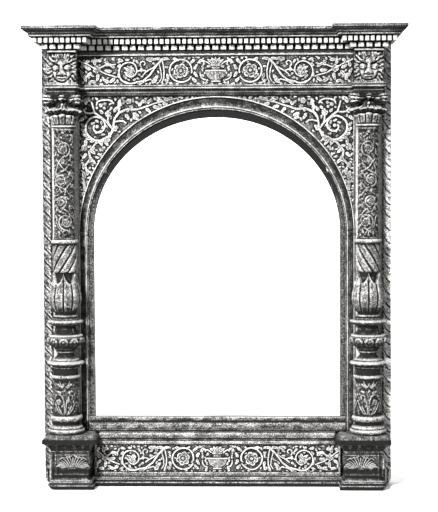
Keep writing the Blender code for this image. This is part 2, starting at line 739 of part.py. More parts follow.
def build_strips():
    """Outer strips with slanting leaf cuts between a plain foot and a plain head."""
    top = Z_UPPER_TEETH - GAP
    low, high = Z_PLINTH, Z_BED
    rows = 2 * int((high - low) / LEAF_PITCH)
    slant = STRIP_W * 0.9
    for side in (1, -1):
        corner = lower_corner()
        levels = [(z, z, 0.0) for z in (CORNER_R, low - slant)]
        for k in range(rows):
            z = low + (high - low) * k / rows
            z_in, z_out = (z, z - slant) if side < 0 else (z - slant, z)
            levels.append((z_in, z_out, STRIP_RELIEF * (k % 2)))
        levels.append((top, top, 0.0))
        points, faces = [], []
        ground = FACE + STRIP_T
        for z_in, z_out, rise in levels:
            points += [at(side * STRIP_IN, ground + rise, z_in), at(side * BODY_HALF, ground + rise, z_out)]
        count = len(levels)
        for k in range(count - 1):
            low_in, low_out = 2 * k, 2 * k + 1
            faces += [[low_in, low_out, low_out + 2], [low_in, low_out + 2, low_in + 2]]
        foot = len(points)
        points += [at(side * x, ground, z) for x, z in corner[:-1]]
        back = len(points)
        points += [at(side * x, FACE, z) for x, z in corner[:-1]]
        points += [at(side * BODY_HALF, FACE, CORNER_R), at(side * BODY_HALF, FACE, top)]
        points += [at(side * STRIP_IN, FACE, top), at(side * STRIP_IN, FACE, CORNER_R)]
        steps = len(corner) - 1
        faces.append([foot + i for i in range(steps)] + [1, 0])
        for i in range(steps - 1):
            faces.append([foot + i, foot + i + 1, back + i + 1, back + i])
        faces.append([foot + steps - 1, 1, back + steps, back + steps - 1])
        faces.append([2 * k + 1 for k in range(count)] + [back + steps + 1, back + steps])
        faces.append([2 * k for k in range(count)] + [back + steps + 2, back + steps + 3])
        faces.append([2 * count - 2, 2 * count - 1, back + steps + 1, back + steps + 2])
        faces.append([foot, 0, back + steps + 3, back])
        faces.append([back + i for i in range(steps + 2)] + [back + steps + 2, back + steps + 3])
        piece("strip_" + side_name(side), points, faces, WOOD_MID)


# Lion masks

def lion(u, v):
    """The height of a lion's mask over its square block, for u and v from -1 to 1."""
    far = math.hypot(u / 0.95, v / 0.98)
    turn = math.atan2(v, u)
    mane = 0.42 * max(0.0, 1 - far ** 4) * (1 + 0.18 * math.cos(12 * turn))
    face = max(0.0, 1 - (u / 0.60) ** 2 - ((v + 0.02) / 0.78) ** 2)
    shape = mane + 0.38 * math.sqrt(face)
    shape += 0.22 * bump(u, v, 0.0, 0.05, 0.17, 0.42)
    for side in (1, -1):
        shape += 0.16 * bump(u, v, 0.28 * side, 0.38, 0.22, 0.14)
        shape -= 0.22 * bump(u, v, 0.29 * side, 0.16, 0.14, 0.10)
        shape += 0.20 * bump(u, v, 0.22 * side, -0.27, 0.22, 0.20)
        shape += 0.30 * bump(u, v, 0.58 * side, 0.66, 0.20, 0.20)
    return shape - 0.45 * bump(u, v, 0.0, -0.56, 0.26, 0.14)


def bump(u, v, cu, cv, wu, wv):
    return math.exp(-(((u - cu) / wu) ** 2) - ((v - cv) / wv) ** 2)


def build_masks():
    columns, rows = 10, 11
    low, high = Z_FRIEZE, Z_BED
    for side in (1, -1):
        points = []
        for j in range(rows + 1):
            for i in range(columns + 1):
                u, v = 2 * i / columns - 1, 2 * j / rows - 1
                inside = 0 < i < columns and 0 < j < rows
                rise = MASK_RELIEF * min(1.0, max(0.0, lion(u, v))) if inside else 0.0
                x = MASK_IN + MASK_W * (u + 1) / 2
                points.append(at(side * x, MASK_F + rise, low + (high - low) * (v + 1) / 2))
        wide = columns + 1
        faces = []
        for j in range(rows):
            for i in range(columns):
                k = j * wide + i
                faces += [[k, k + 1, k + wide + 1], [k, k + wide + 1, k + wide]]
        rim = [i for i in range(columns)] + [j * wide + columns for j in range(rows)]
        rim += [rows * wide + i for i in range(columns, 0, -1)] + [j * wide for j in range(rows, 0, -1)]
        base = len(points)
        corners = ((MASK_IN, low), (BLOCK_OUT, low), (BLOCK_OUT, high), (MASK_IN, high))
        points += [at(side * x, FACE, z) for x, z in corners]
        starts = [0, columns, columns + rows, 2 * columns + rows, len(rim)]
        for k in range(4):
            edge = rim[starts[k]:starts[k + 1]] + [rim[starts[k + 1] % len(rim)]]
            faces.append(edge + [base + (k + 1) % 4, base + k])
        faces.append([base, base + 1, base + 2, base + 3])
        piece("mask_block_" + side_name(side), points, faces, WOOD_MID)


# Columns and capitals

def turned(name, side, rings, trim, colour):
    """A turned solid on the column's axis: rings of (z, radius per step, twist), cut flat behind."""
    sections = []
    for z, radii, twist in rings:
        section = []
        for k, radius in enumerate(radii):
            turn = 2 * math.pi * k / len(radii) + twist
            x = COLUMN_X * side + radius * math.sin(turn)
            section.append(at(x, COLUMN_F + radius * math.cos(turn), z))
        sections.append(section)
    result = loft(name, sections, colour)
    work = bmesh.new()
    work.from_mesh(result.data)
    place = Vector((0.0, HALF_DEPTH - trim, 0.0))
    everything = work.verts[:] + work.edges[:] + work.faces[:]
    back = (0, 1, 0)
    bmesh.ops.bisect_plane(work, geom=everything, dist=1e-6, plane_co=place, plane_no=back, clear_outer=True)
    open_edges = [edge for edge in work.edges if edge.is_boundary]
    bmesh.ops.holes_fill(work, edges=open_edges, sides=0)
    bmesh.ops.recalc_face_normals(work, faces=work.faces)
    work.to_mesh(result.data)
    work.free()
    return result


def column_rings(side):
    """The levels of a column, worked out member by member."""
    total = sum(member[1] for member in COLUMN_MEMBER_SHARES)
    height = COLUMN_H - 2 * GAP
    lobes = np.cos(np.pi * np.arange(TURNING_STEPS))
    z, twist, rings = Z_COLUMN + GAP, 0.0, []
    quarter_turn = -side * math.pi / 2
    for kind, share, foot, middle, head in COLUMN_MEMBER_SHARES:
        rise = height * share / total
        steps, depth = RING_STEPS[kind], CARVING_SHARES.get(kind, 0.0)
        for i in range(steps):
            t = i / (steps - 1)
            radius = foot + (head - foot) * t + (middle - (foot + head) / 2) * 4 * t * (1 - t)
            wave = depth * (math.sin(math.pi * t) if kind == "bulb" else 1.0)
            turn = twist + (quarter_turn * t if kind == "spiral" else 0.0)
            rings.append((z + rise * t, COLUMN_R * radius * (1 - wave * (1 - lobes)), turn))
        if kind == "spiral":
            twist += quarter_turn
        z += rise
    return rings


def capital_rings():
    """The levels of a capital: fluted bell, leaf tips, hollow and four-cornered abacus."""
    steps = np.arange(TURNING_STEPS)
    lobes = np.cos(np.pi * steps)
    corner = np.where(steps % 4 == 2, 1.0, 0.0)
    side = np.where(steps % 4 == 0, 1.0, 0.0)
    shaft = COLUMN_R * COLUMN_MEMBER_SHARES[-1][-1]
    square = ABACUS_HALF * (0.90 + 0.46 * corner + 0.05 * side)
    inner = ABACUS_HALF * (0.70 + 0.44 * corner)
    height = CAPITAL_H - 2 * GAP
    levels = [
        (0.00, shaft * 1.10 + 0 * lobes), (0.00, shaft * 1.30 + 0 * lobes), (0.09, shaft * 1.30 + 0 * lobes),
        (0.10, shaft * (1.12 + 0.04 * lobes)), (0.34, shaft * (1.15 + 0.06 * lobes)),
        (0.53, shaft * (1.50 + 0.24 * lobes)),
        (0.60, shaft * 1.22 + 0 * lobes), (0.72, inner * 0.86), (0.82, square), (1.00, square),
    ]
    return [(Z_CAPITAL + GAP + height * share, radii, 0.0) for share, radii in levels]


def build_columns():
    for side in (1, -1):
        turned("column_" + side_name(side), side, column_rings(side), FACE, WOOD_MID)
        turned("capital_" + side_name(side), side, capital_rings(), STEP_F, WOOD_PALE)


def main():
    clear_scene()
    build_boards()
    build_entablature()
    build_base()
    build_mouldings()
    build_panels()
    build_spandrels()
    build_strips()
    build_masks()
    build_columns()


main()
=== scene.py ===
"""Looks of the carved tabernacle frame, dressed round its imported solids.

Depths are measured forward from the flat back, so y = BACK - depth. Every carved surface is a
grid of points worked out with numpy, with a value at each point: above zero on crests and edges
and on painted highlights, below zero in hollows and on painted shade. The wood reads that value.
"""
import math

import bmesh
import bpy
import numpy as np
from mathutils import Matrix, Vector


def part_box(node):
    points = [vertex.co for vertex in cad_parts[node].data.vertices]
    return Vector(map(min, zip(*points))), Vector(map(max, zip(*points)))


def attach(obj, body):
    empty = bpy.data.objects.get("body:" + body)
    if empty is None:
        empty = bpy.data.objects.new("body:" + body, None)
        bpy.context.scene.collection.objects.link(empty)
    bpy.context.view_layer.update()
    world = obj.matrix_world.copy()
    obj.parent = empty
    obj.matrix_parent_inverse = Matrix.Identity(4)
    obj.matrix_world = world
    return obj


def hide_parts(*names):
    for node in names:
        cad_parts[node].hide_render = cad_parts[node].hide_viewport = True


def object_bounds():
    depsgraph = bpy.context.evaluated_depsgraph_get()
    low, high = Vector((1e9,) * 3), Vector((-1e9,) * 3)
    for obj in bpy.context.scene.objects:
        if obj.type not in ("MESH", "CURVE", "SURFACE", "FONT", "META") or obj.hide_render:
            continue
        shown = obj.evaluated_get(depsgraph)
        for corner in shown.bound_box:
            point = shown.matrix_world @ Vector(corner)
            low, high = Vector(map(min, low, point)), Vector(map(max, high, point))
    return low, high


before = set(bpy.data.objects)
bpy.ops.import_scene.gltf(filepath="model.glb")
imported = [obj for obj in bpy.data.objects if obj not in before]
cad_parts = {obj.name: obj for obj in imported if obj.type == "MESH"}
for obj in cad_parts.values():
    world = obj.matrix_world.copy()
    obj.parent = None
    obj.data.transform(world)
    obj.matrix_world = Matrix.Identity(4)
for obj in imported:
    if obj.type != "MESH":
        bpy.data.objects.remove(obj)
cad_low, cad_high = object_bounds()

MM = 0.001
GAP = 0.3 * MM
BACK = cad_high.y
AXIS_DEPTH = 48 * MM    # the columns' axis
RUN_DEPTH = 30 * MM     # the entablature's front between its blocks
CORNER = 12.9 * MM      # radius of the frame's lower corners


def low_high(node):
    """A node's lowest corner and highest corner as (x, depth, z)."""
    low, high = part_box(node)
    return np.array([low.x, BACK - high.y, low.z]), np.array([high.x, BACK - low.y, high.z])


def pairs(kind):
    """Both nodes of a pair: side (1 right, -1 left), name, lowest corner and highest corner."""
    for side, name in ((1, "_right"), (-1, "_left")):
        yield side, kind + name, *low_high(kind + name)


def board_step():
    """How far forward the parts that stand in front of the boards begin."""
    return low_high("capital_right")[0][1]


# Numbers on grids

def ease(t):
    """A smooth step from 0 to 1."""
    t = np.clip(t, 0.0, 1.0)
    return t * t * (3 - 2 * t)


def bell(t):
    """One where t is 0, falling off smoothly to both sides."""
    return np.exp(-t ** 2)


def noise(u, v, cell, seed):
    """Value noise from -1 to 1: random heights on a lattice, joined by smooth steps."""
    lattice = np.random.default_rng(seed).random((64, 64)) * 2 - 1
    u, v = np.broadcast_arrays(np.asarray(u) / cell, np.asarray(v) / cell)
    iu, iv = np.floor(u).astype(int), np.floor(v).astype(int)
    fu, fv = ease(u - iu), ease(v - iv)
    a, b = lattice[iu % 64, iv % 64], lattice[(iu + 1) % 64, iv % 64]
    c, d = lattice[iu % 64, (iv + 1) % 64], lattice[(iu + 1) % 64, (iv + 1) % 64]
    return (a + (b - a) * fu) * (1 - fv) + (c + (d - c) * fu) * fv


def blur(field, reach, around=False):
    """The mean over a square of neighbours, taken twice; around joins the last column to the first."""
    wide = 2 * reach + 1
    for _ in range(2):
        for axis, mode in ((0, "edge"), (1, "wrap" if around else "edge")):
            pad = [(0, 0), (0, 0)]
            pad[axis] = (reach + 1, reach)
            total = np.cumsum(np.pad(field, pad, mode=mode), axis=axis)
            far = np.take(total, range(wide, total.shape[axis]), axis=axis)
            near = np.take(total, range(0, total.shape[axis] - wide), axis=axis)
            field = (far - near) / wide
    return field


def above(height, reach, scale, around=False):
    """How far a surface stands above its neighbours, as a share of a scale, from -1 to 1."""
    return np.clip((height - blur(height, reach, around)) / scale, -1, 1)


def crest_and_hollow_tone(height):
    """Paler crests and darker hollows: a fine part and a broad part of the same difference."""
    return np.clip(0.45 * above(height, 1, 0.22 * MM) + 0.65 * above(height, 6, 1.7 * MM), -1, 1)


# Meshes

def put(name, points, faces, wear_and_painted_light, material, nodes=(), smooth=True):
    """A mesh object from points and faces, riding on the frame and standing for CAD nodes."""
    mesh = bpy.data.meshes.new(name)
    mesh.from_pydata(np.asarray(points, float).reshape(-1, 3).tolist(), [], faces)
    # The value at each point carries wear and random tone together with painted highlights and painted shade.
    layer = mesh.attributes.new("wear_and_painted_light", "FLOAT", "POINT")
    layer.data.foreach_set("value", np.asarray(wear_and_painted_light, np.float32).ravel())
    mesh.polygons.foreach_set("use_smooth", [smooth] * len(mesh.polygons))
    mesh.materials.append(material)
    mesh.update()
    piece = bpy.data.objects.new(name, mesh)
    bpy.context.scene.collection.objects.link(piece)
    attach(piece, "root")
    if nodes:
        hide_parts(*nodes)
    return piece


def grid_faces(rows, columns, around):
    """Quads over a grid of points; around joins the last column to the first."""
    i, j = np.meshgrid(np.arange(rows - 1), np.arange(columns if around else columns - 1), indexing="ij")
    k = (j + 1) % columns
    quads = np.stack([i * columns + j, i * columns + k, (i + 1) * columns + k, (i + 1) * columns + j], -1)
    return quads.reshape(-1, 4).tolist()


def lids(rows, columns):
    """The faces that close the first and the last ring of a grid."""
    return [list(range(columns))[::-1], list(range((rows - 1) * columns, rows * columns))]


def rings(name, points, wear_and_painted_light, material, node):
    """A closed solid from rings of points stacked upwards, with a flat lid at each end."""
    rows, columns = points.shape[:2]
    piece = put(name, points, grid_faces(rows, columns, True) + lids(rows, columns), wear_and_painted_light, material, (node,))
    flags = [True] * len(piece.data.polygons)
    flags[-1] = flags[-2] = False
    piece.data.polygons.foreach_set("use_smooth", flags)
    return piece


def outward(piece):
    """Turns a closed mesh's faces outward."""
    work = bmesh.new()
    work.from_mesh(piece.data)
    bmesh.ops.recalc_face_normals(work, faces=work.faces)
    work.to_mesh(piece.data)
    work.free()


def placed(x, depth, z):
    """Points from places across, depths and heights."""
    x, depth, z = np.broadcast_arrays(x, depth, z)
    return np.stack([x, BACK - depth, z], axis=-1)


def backed(name, node, x, depth, z, wear_and_painted_light, rear, material=None):
    """A closed solid from a grid of front depths, whose first and last columns go back to the rear."""
    def widened(field):
        """A value for every place of the grid, with its first and last column repeated."""
        field = np.broadcast_to(field, depth.shape)
        return np.concatenate([field[:, :1], field, field[:, -1:]], axis=1)

    flat = np.full((len(depth), 1), rear)
    points = placed(widened(x), np.concatenate([flat, depth, flat], axis=1), widened(z))
    return rings(name, points, widened(wear_and_painted_light), material or CARVED, node)


def node_grid(low, high, columns, rows):
    """Places across and up that cover a node's front."""
    return (np.linspace(low[0], high[0], columns + 1)[None, :],
            np.linspace(low[2], high[2], rows + 1)[:, None])


# Plans and profiles of mouldings

def plan_outline(corners, step):
    """A plan polygon of (x, depth, x shift, depth shift), with its long sides divided."""
    corners = np.asarray(corners, float)
    result = []
    for a, b in zip(corners, np.roll(corners, -1, 0)):
        count = max(1, int(math.hypot(*(b - a)[:2]) / step))
        result += [a + (b - a) * i / count for i in range(count)]
    return np.array(result)


def levels_at(base, offset, rows):
    """Profile points from rows of millimetres above a base, millimetres out from an offset, and a tone that
    is painted light above zero and painted shade below zero.
    """
    return [(base + up * MM, offset + out * MM, tone) for up, out, tone in rows]


def rounded(profile, radius):
    """A profile of (height, offset, tone) with each corner eased, and a value along it: the tone, which is
    painted light and shade, with outer corners paler and inner corners darker.
    """
    profile = np.array(profile, float)
    tone, profile = profile[:, 2], profile[:, :2]
    points, wear_and_painted_light = [profile[0]], [0.3 + tone[0]]
    for k in range(1, len(profile) - 1):
        a, b, c = profile[k - 1:k + 2]
        before, after = a - b, c - b
        reach_a, reach_b = np.linalg.norm(before), np.linalg.norm(after)
        cut = min(radius, 0.45 * reach_a, 0.45 * reach_b)
        start, end = b + before / reach_a * cut, b + after / reach_b * cut
        turn = (before[0] * after[1] - before[1] * after[0]) / (reach_a * reach_b)
        for t, share in ((0.0, 0.6), (0.33, 1.0), (0.67, 1.0), (1.0, 0.6)):
            points.append(start * (1 - t) ** 2 + 2 * b * t * (1 - t) + end * t * t)
            wear_and_painted_light.append(float(np.clip(-turn * 1.3, -1, 1)) * share + tone[k])
    points.append(profile[-1])
    wear_and_painted_light.append(0.3 + tone[-1])
    return np.array(points), np.array(wear_and_painted_light)


def hollow(z0, o0, z1, o1, bulge, tone):
    """Four profile points between two places, bowed outward where bulge is above zero."""
    t = np.linspace(0, 1, 6)[1:-1]
    bow = 4 * t * (1 - t)
    return list(zip(z0 + (z1 - z0) * t, o0 + (o1 - o0) * t + bulge * bow, tone * bow))


def moulding(name, node, corners, profile, material, seed, radius=0.6 * MM):
    """A run of moulding: the plan moved outward by the profile's offset at each level."""
    plan = plan_outline(corners, 7.5 * MM)
    levels, painted_light_and_wear = rounded(profile, radius)
    z, out = levels[:, 0][:, None], levels[:, 1][:, None]
    along = np.cumsum(np.hypot(*(np.roll(plan, -1, 0) - plan)[:, :2].T))[None, :]
    out = out + noise(along + 3, z * 4 + 1, 9 * MM, seed) * 0.12 * MM
    wear_and_painted_light = painted_light_and_wear[:, None] + 0.35 * noise(along, z, 5 * MM, seed + 7)
    low, high = low_high(node)
    height = z + noise(along, z + 9, 30 * MM, seed + 3) * 0.1 * MM
    x = np.clip(plan[:, 0] + out * plan[:, 2], low[0], high[0])
    depth = np.clip(plan[:, 1] + out * plan[:, 3], low[1], high[1])
    return rings(name, placed(x, depth, np.clip(height, z[0, 0], z[-1, 0])), wear_and_painted_light, material, node)


def breaking(outer, inner, block_front, run_front, rear, root=0.0, step_depth=0.0):
    """The plan of a member that breaks forward at both sides, from the back left round the front."""
    left = [(-outer, block_front, -1, 1), (-inner, block_front, 1, 1), (-inner, run_front, 1, 1)]
    if step_depth:
        left = [(-root, rear, 0, 0), (-root, step_depth, 0, 0), (-outer, step_depth, -1, 0)] + left
    else:
        left = [(-outer, rear, -1, 0)] + left
    return left + [(-x, depth, -mx, md) for x, depth, mx, md in left[::-1]]


# Carving, in millimetres

def near_path(x, z, path):
    """For each point: its distance to a path, and how far along the path that is, from 0 to 1."""
    best = np.full(x.shape, 1e9)
    along = np.zeros(x.shape)
    runs = path[1:] - path[:-1]
    lengths = np.maximum(np.hypot(*runs.T), 1e-9)
    starts = np.concatenate([[0], np.cumsum(lengths)])
    for corner, run, length, before in zip(path, runs, lengths, starts):
        dx, dz = x - corner[0], z - corner[1]
        t = np.clip((dx * run[0] + dz * run[1]) / length ** 2, 0, 1)
        far = np.hypot(dx - run[0] * t, dz - run[1] * t)
        closer = far < best
        best = np.where(closer, far, best)
        along = np.where(closer, (before + length * t) / starts[-1], along)
    return best, along


def polar(angle, radius):
    """A shift of a radius in a direction in degrees."""
    return np.array([math.cos(math.radians(angle)), math.sin(math.radians(angle))]) * radius


def bend(root, angle, length, turn, steps=12):
    """A path from a root that sets off at an angle and turns evenly on its way, in degrees."""
    heading = np.radians(angle + turn * (np.arange(steps) + 0.5) / steps)
    hops = np.stack([np.cos(heading), np.sin(heading)], axis=1) * length / steps
    return np.concatenate([[root], root + np.cumsum(hops, axis=0)])


def spiral(centre, start_radius, end_radius, start, end, steps):
    """A path round a centre whose radius runs evenly from one value to the other, in degrees."""
    angle = np.radians(np.linspace(start, end, steps + 1))
    radius = np.linspace(start_radius, end_radius, steps + 1)
    return np.stack([centre[0] + radius * np.cos(angle), centre[1] + radius * np.sin(angle)], axis=1)


class Carving:
    """Heights of relief over a ground, on any grid of places; all its sizes are in millimetres."""

    def __init__(self, x, z):
        self.x, self.z = np.broadcast_arrays(np.asarray(x, float) / MM, np.asarray(z, float) / MM)
        self.height = np.zeros(self.x.shape)

    def window(self, path, pad):
        """Which grid points lie close enough to a path to be touched by it."""
        low, high = path.min(0) - pad, path.max(0) + pad
        return (self.x > low[0]) & (self.x < high[0]) & (self.z > low[1]) & (self.z < high[1])

    def lay(self, where, height):
        """Adds a form where it stands above what is there."""
        self.height[where] = np.maximum(self.height[where], height)

    def stem(self, path, width, height, taper=0.0, groove=0.25):
        """A stalk: round in section, with a fine groove down its middle."""
        path = np.asarray(path, float)
        where = self.window(path, width)
        far, along = near_path(self.x[where], self.z[where], path)
        t = far / (width * (1 - taper * along))
        dome = np.sqrt(np.clip(1 - t ** 2, 0, 1)) - groove * bell(t / 0.28)
        self.lay(where, np.where(t < 1, height * (0.35 + 0.65 * dome), 0))

    def leaf(self, root, angle, length, width, height, turn=0.0, lobes=2.0):
        """A carved leaf: lobed edge, raised blade, sunk mid rib and slanting veins."""
        path = bend(np.asarray(root, float), angle, length, turn)
        where = self.window(path, width * 1.3)
        far, s = near_path(self.x[where], self.z[where], path)
        outline = np.sin(np.pi * np.clip(s, 0.02, 1) ** 0.75) ** 0.8
        outline = outline * (0.78 + 0.30 * np.abs(np.sin(np.pi * lobes * s)))
        t = far / np.maximum(width * outline, 0.001)
        blade = 0.55 + 0.45 * np.sqrt(np.clip(1 - t ** 2, 0, 1)) - 0.32 * bell(far / (0.16 * width))
        blade = blade + 0.12 * np.cos(2 * np.pi * (lobes * 2 * s - 0.9 * t)) * (t > 0.2)
        self.lay(where, np.where((t < 1) & (s > 0) & (s < 1), height * blade, 0))

    def leaves(self, at, rows, width, height, unit=1.0):
        """Leaves from rows of a place, an angle, a length in units and a turn."""
        for across, up, angle, length, turn in rows:
            self.leaf(at(across, up), angle, length * unit, width, height, turn)

    def leaf_ring(self, centre, radius, angles, lean, length, width, height, turn):
        """Leaves that spring from a circle, each leaning by the same angle from its own spoke."""
        for angle in angles:
            self.leaf(centre + polar(angle, radius), angle + lean, length, width, height, turn)

    def flower(self, centre, radius, height, petals=6, spin=0.0):
        """A rosette: outer and inner petals with raised rims, and a boss with a drilled eye."""
        centre = np.asarray(centre, float)
        where = self.window(centre[None, :], radius * 1.1)
        dx, dz = self.x[where] - centre[0], self.z[where] - centre[1]
        r, a = np.hypot(dx, dz) / radius, np.arctan2(dz, dx) + spin
        outer = petal_ring(r, a, petals, 0.45, 1.0)
        inner = petal_ring(r, a + np.pi / petals, petals, 0.22, 0.62) * 1.05
        boss = np.where(r < 0.24, 1.15 * np.sqrt(np.clip(1 - (r / 0.24) ** 2, 0, 1)) + 0.1, 0)
        boss = boss - 0.7 * bell(r / 0.08)
        self.lay(where, height * np.maximum(np.maximum(outer, inner), boss))

    def bead(self, centre, radius, height):
        """A round berry."""
        where = self.window(centre[None, :], radius)
        r = np.hypot(self.x[where] - centre[0], self.z[where] - centre[1]) / radius
        self.lay(where, height * np.sqrt(np.clip(1 - r ** 2, 0, 1)))

    def fill(self, count, seed, length, width, height):
        """Small leaves in places that are still bare, in random directions."""
        random = np.random.default_rng(seed)
        for _ in range(count):
            i, j = random.integers(0, self.x.shape[0]), random.integers(0, self.x.shape[1])
            angle, turn = random.uniform(0, 360), random.uniform(-90, 90)
            size = random.uniform(0.6, 1.0)
            root = np.array([self.x[i, j], self.z[i, j]])
            where = self.window(bend(root, angle, length * size, turn), width * 0.5)
            if where.any() and np.mean(self.height[where] > 0.25 * height) < 0.16:
                self.leaf(root, angle, length * size, width * size, height, turn)

    def punched(self, seed):
        """Roughens the bare ground with tool marks half a millimetre deep."""
        bare = ease(1 - self.height / 0.25)
        marks = np.abs(noise(self.x, self.z, 1.5, seed)) * 2 - 1
        self.height = self.height + bare * marks * 0.5


def petal_ring(r, a, count, inside, outside):
    """Heights of a ring of round petals, each dished and with a raised rim."""
    wave = np.abs(np.cos(count * a / 2))
    edge = outside * (0.80 + 0.20 * wave)
    t = np.clip((r - inside * 0.6) / (edge - inside * 0.6), 0, 1)
    return np.where(r < edge, 0.45 + 0.55 * t ** 2 - 0.45 * bell(wave / 0.22), 0)


def hand_cut(x, z, seed):
    """Places shifted by up to half a millimetre, as cutting by hand leaves them."""
    return x + noise(x, z, 14 * MM, seed) * 0.5 * MM, z + noise(x, z, 11 * MM, seed + 1) * 0.5 * MM


# Materials

class Wire:
    """A value from a node's socket; sums on it add Math nodes."""

    def __init__(self, paint, socket):
        self.paint, self.socket = paint, socket

    def with_math(self, operation, first, second):
        """A Math node on two values."""
        return self.paint.node("ShaderNodeMath", {"operation": operation}, {0: first, 1: second})

    def __add__(self, other):
        return self.with_math("ADD", self, other)

    def __sub__(self, other):
        return self.with_math("SUBTRACT", self, other)

    def __rsub__(self, other):
        return self.with_math("SUBTRACT", other, self)

    def __mul__(self, other):
        return self.with_math("MULTIPLY", self, other)

    __radd__ = __add__
    __rmul__ = __mul__

    def clamped(self):
        """The value held between 0 and 1."""
        return self.paint.node("ShaderNodeClamp", {}, {"Value": self})


class Paint:
    """Builds the nodes of one material."""

    def __init__(self, name, slot):
        self.material = bpy.data.materials.new(name)
        self.material["slot"] = slot
        self.material.use_nodes = True
        self.tree = self.material.node_tree
        self.shader = self.tree.nodes["Principled BSDF"]

    def node(self, kind, settings, inputs, output=0):
        """One node: its settings first, then the values or links of its sockets."""
        made = self.tree.nodes.new(kind)
        for key, value in settings.items():
            setattr(made, key, value)
        for key, value in inputs.items():
            self.feed(made.inputs[key], value)
        return Wire(self, made.outputs[output])

    def feed(self, socket, value):
        """Links a wire to a socket, or sets the socket to a constant."""
        if isinstance(value, Wire):
            self.tree.links.new(value.socket, socket)
        else:
            socket.default_value = value

    def mix(self, share, first, second):
        """A colour between two colours."""
        return self.node("ShaderNodeMix", {"data_type": "RGBA"}, {0: share, 6: first, 7: second}, 2)

    def noise(self, place, scale, detail, roughness, distortion=0.0):
        """Noise with its middle at zero, and the same noise as the node gives it."""
        raw = self.node("ShaderNodeTexNoise", {}, {"Vector": place, "Scale": scale, "Detail": detail,
                                                   "Roughness": roughness, "Distortion": distortion})
        return raw - 0.5, raw


def grey(value, warmth=0.015):
    """A nearly neutral colour with a faint warm cast."""
    return (value * (1 + warmth), value, value * (1 - warmth * 1.3), 1.0)


def aged_wood(name, slot, dark, middle, pale, highlight_and_rub, grain_axis=2, grain=1.0, rough=0.6):
    """Old carved wood: a waxed body with grain, paler on crests, edges and painted highlights, darker in
    hollows and on painted shade.
    """
    paint = Paint(name, slot)
    place = paint.node("ShaderNodeTexCoord", {}, {}, "Object")
    painted_light_and_wear = paint.node("ShaderNodeAttribute", {"attribute_name": "wear_and_painted_light"}, {}, "Fac")
    patch, patches = paint.noise(place, 60.0, 5.0, 0.62)
    fleck, flecks = paint.noise(place, 560.0, 2.0, 0.7)
    stretch = [190.0, 190.0, 190.0]
    stretch[grain_axis] = 11.0
    lines = paint.node("ShaderNodeMapping", {}, {"Vector": place, "Scale": tuple(stretch)})
    fibre, fibres = paint.noise(lines, 4.0, 6.0, 0.65, 0.4)
    body = (0.45 + patch * 1.2 + fibre * 1.8 * grain + fleck * 2.8).clamped()
    # The pale mix comes from edges and painted highlights, the dark mix from hollows, dirt specks and painted
    # shade.
    edge = (painted_light_and_wear * highlight_and_rub * 1.1 + patch * 0.8 + fleck * 2.2 - 0.12).clamped()
    dirt_and_shade = (painted_light_and_wear * -2.2 + patch * 0.8 - fleck * 2.2).clamped()
    colour = paint.mix(body, grey(dark * 2.0), grey(middle))
    colour = paint.mix(edge, colour, grey(pale))
    colour = paint.mix(dirt_and_shade, colour, grey(dark))
    paint.feed(paint.shader.inputs["Base Color"], colour)
    paint.feed(paint.shader.inputs["Roughness"], rough + dirt_and_shade * 0.25 - edge * 0.16)
    paint.shader.inputs["Specular IOR Level"].default_value = 0.16
    relief = fibres * 0.5 * grain + flecks * 1.6 + patches * 0.5
    bump = paint.node("ShaderNodeBump", {}, {"Height": relief, "Strength": 1.0, "Distance": 1.1 * MM},
                      "Normal")
    paint.feed(paint.shader.inputs["Normal"], bump)
    return paint.material


CARVED = aged_wood("carved_wood", "carved_wood", 0.010, 0.20, 0.80, 0.75)
SHAFT = aged_wood("column_wood", "carved_wood", 0.010, 0.17, 0.72, 0.6)
# The plinths' wood is a darker copy of the carved wood: painted shade for the plinths low on the frame.
PLINTH_SHADED = aged_wood("plinth_wood_shaded", "carved_wood", 0.008, 0.09, 0.66, 0.85)
MOULDED = aged_wood("moulding_wood", "moulding_wood", 0.008, 0.15, 0.80, 0.9, grain_axis=0, grain=1.2)
SILL = aged_wood("sill_wood", "moulding_wood", 0.010, 0.36, 0.84, 0.9, grain_axis=0, grain=1.2)
UPRIGHT = aged_wood("upright_moulding_wood", "moulding_wood", 0.010, 0.17, 0.75, 0.8, grain=1.2)
BOARDS = aged_wood("board_wood", "board_wood", 0.010, 0.22, 0.66, 0.7, grain=1.4, rough=0.7)


# Entablature

def block_places():
    """Where the mask blocks stand: inner and outer side, and front."""
    low, high = low_high("mask_block_right")
    return low[0], high[0], high[1]


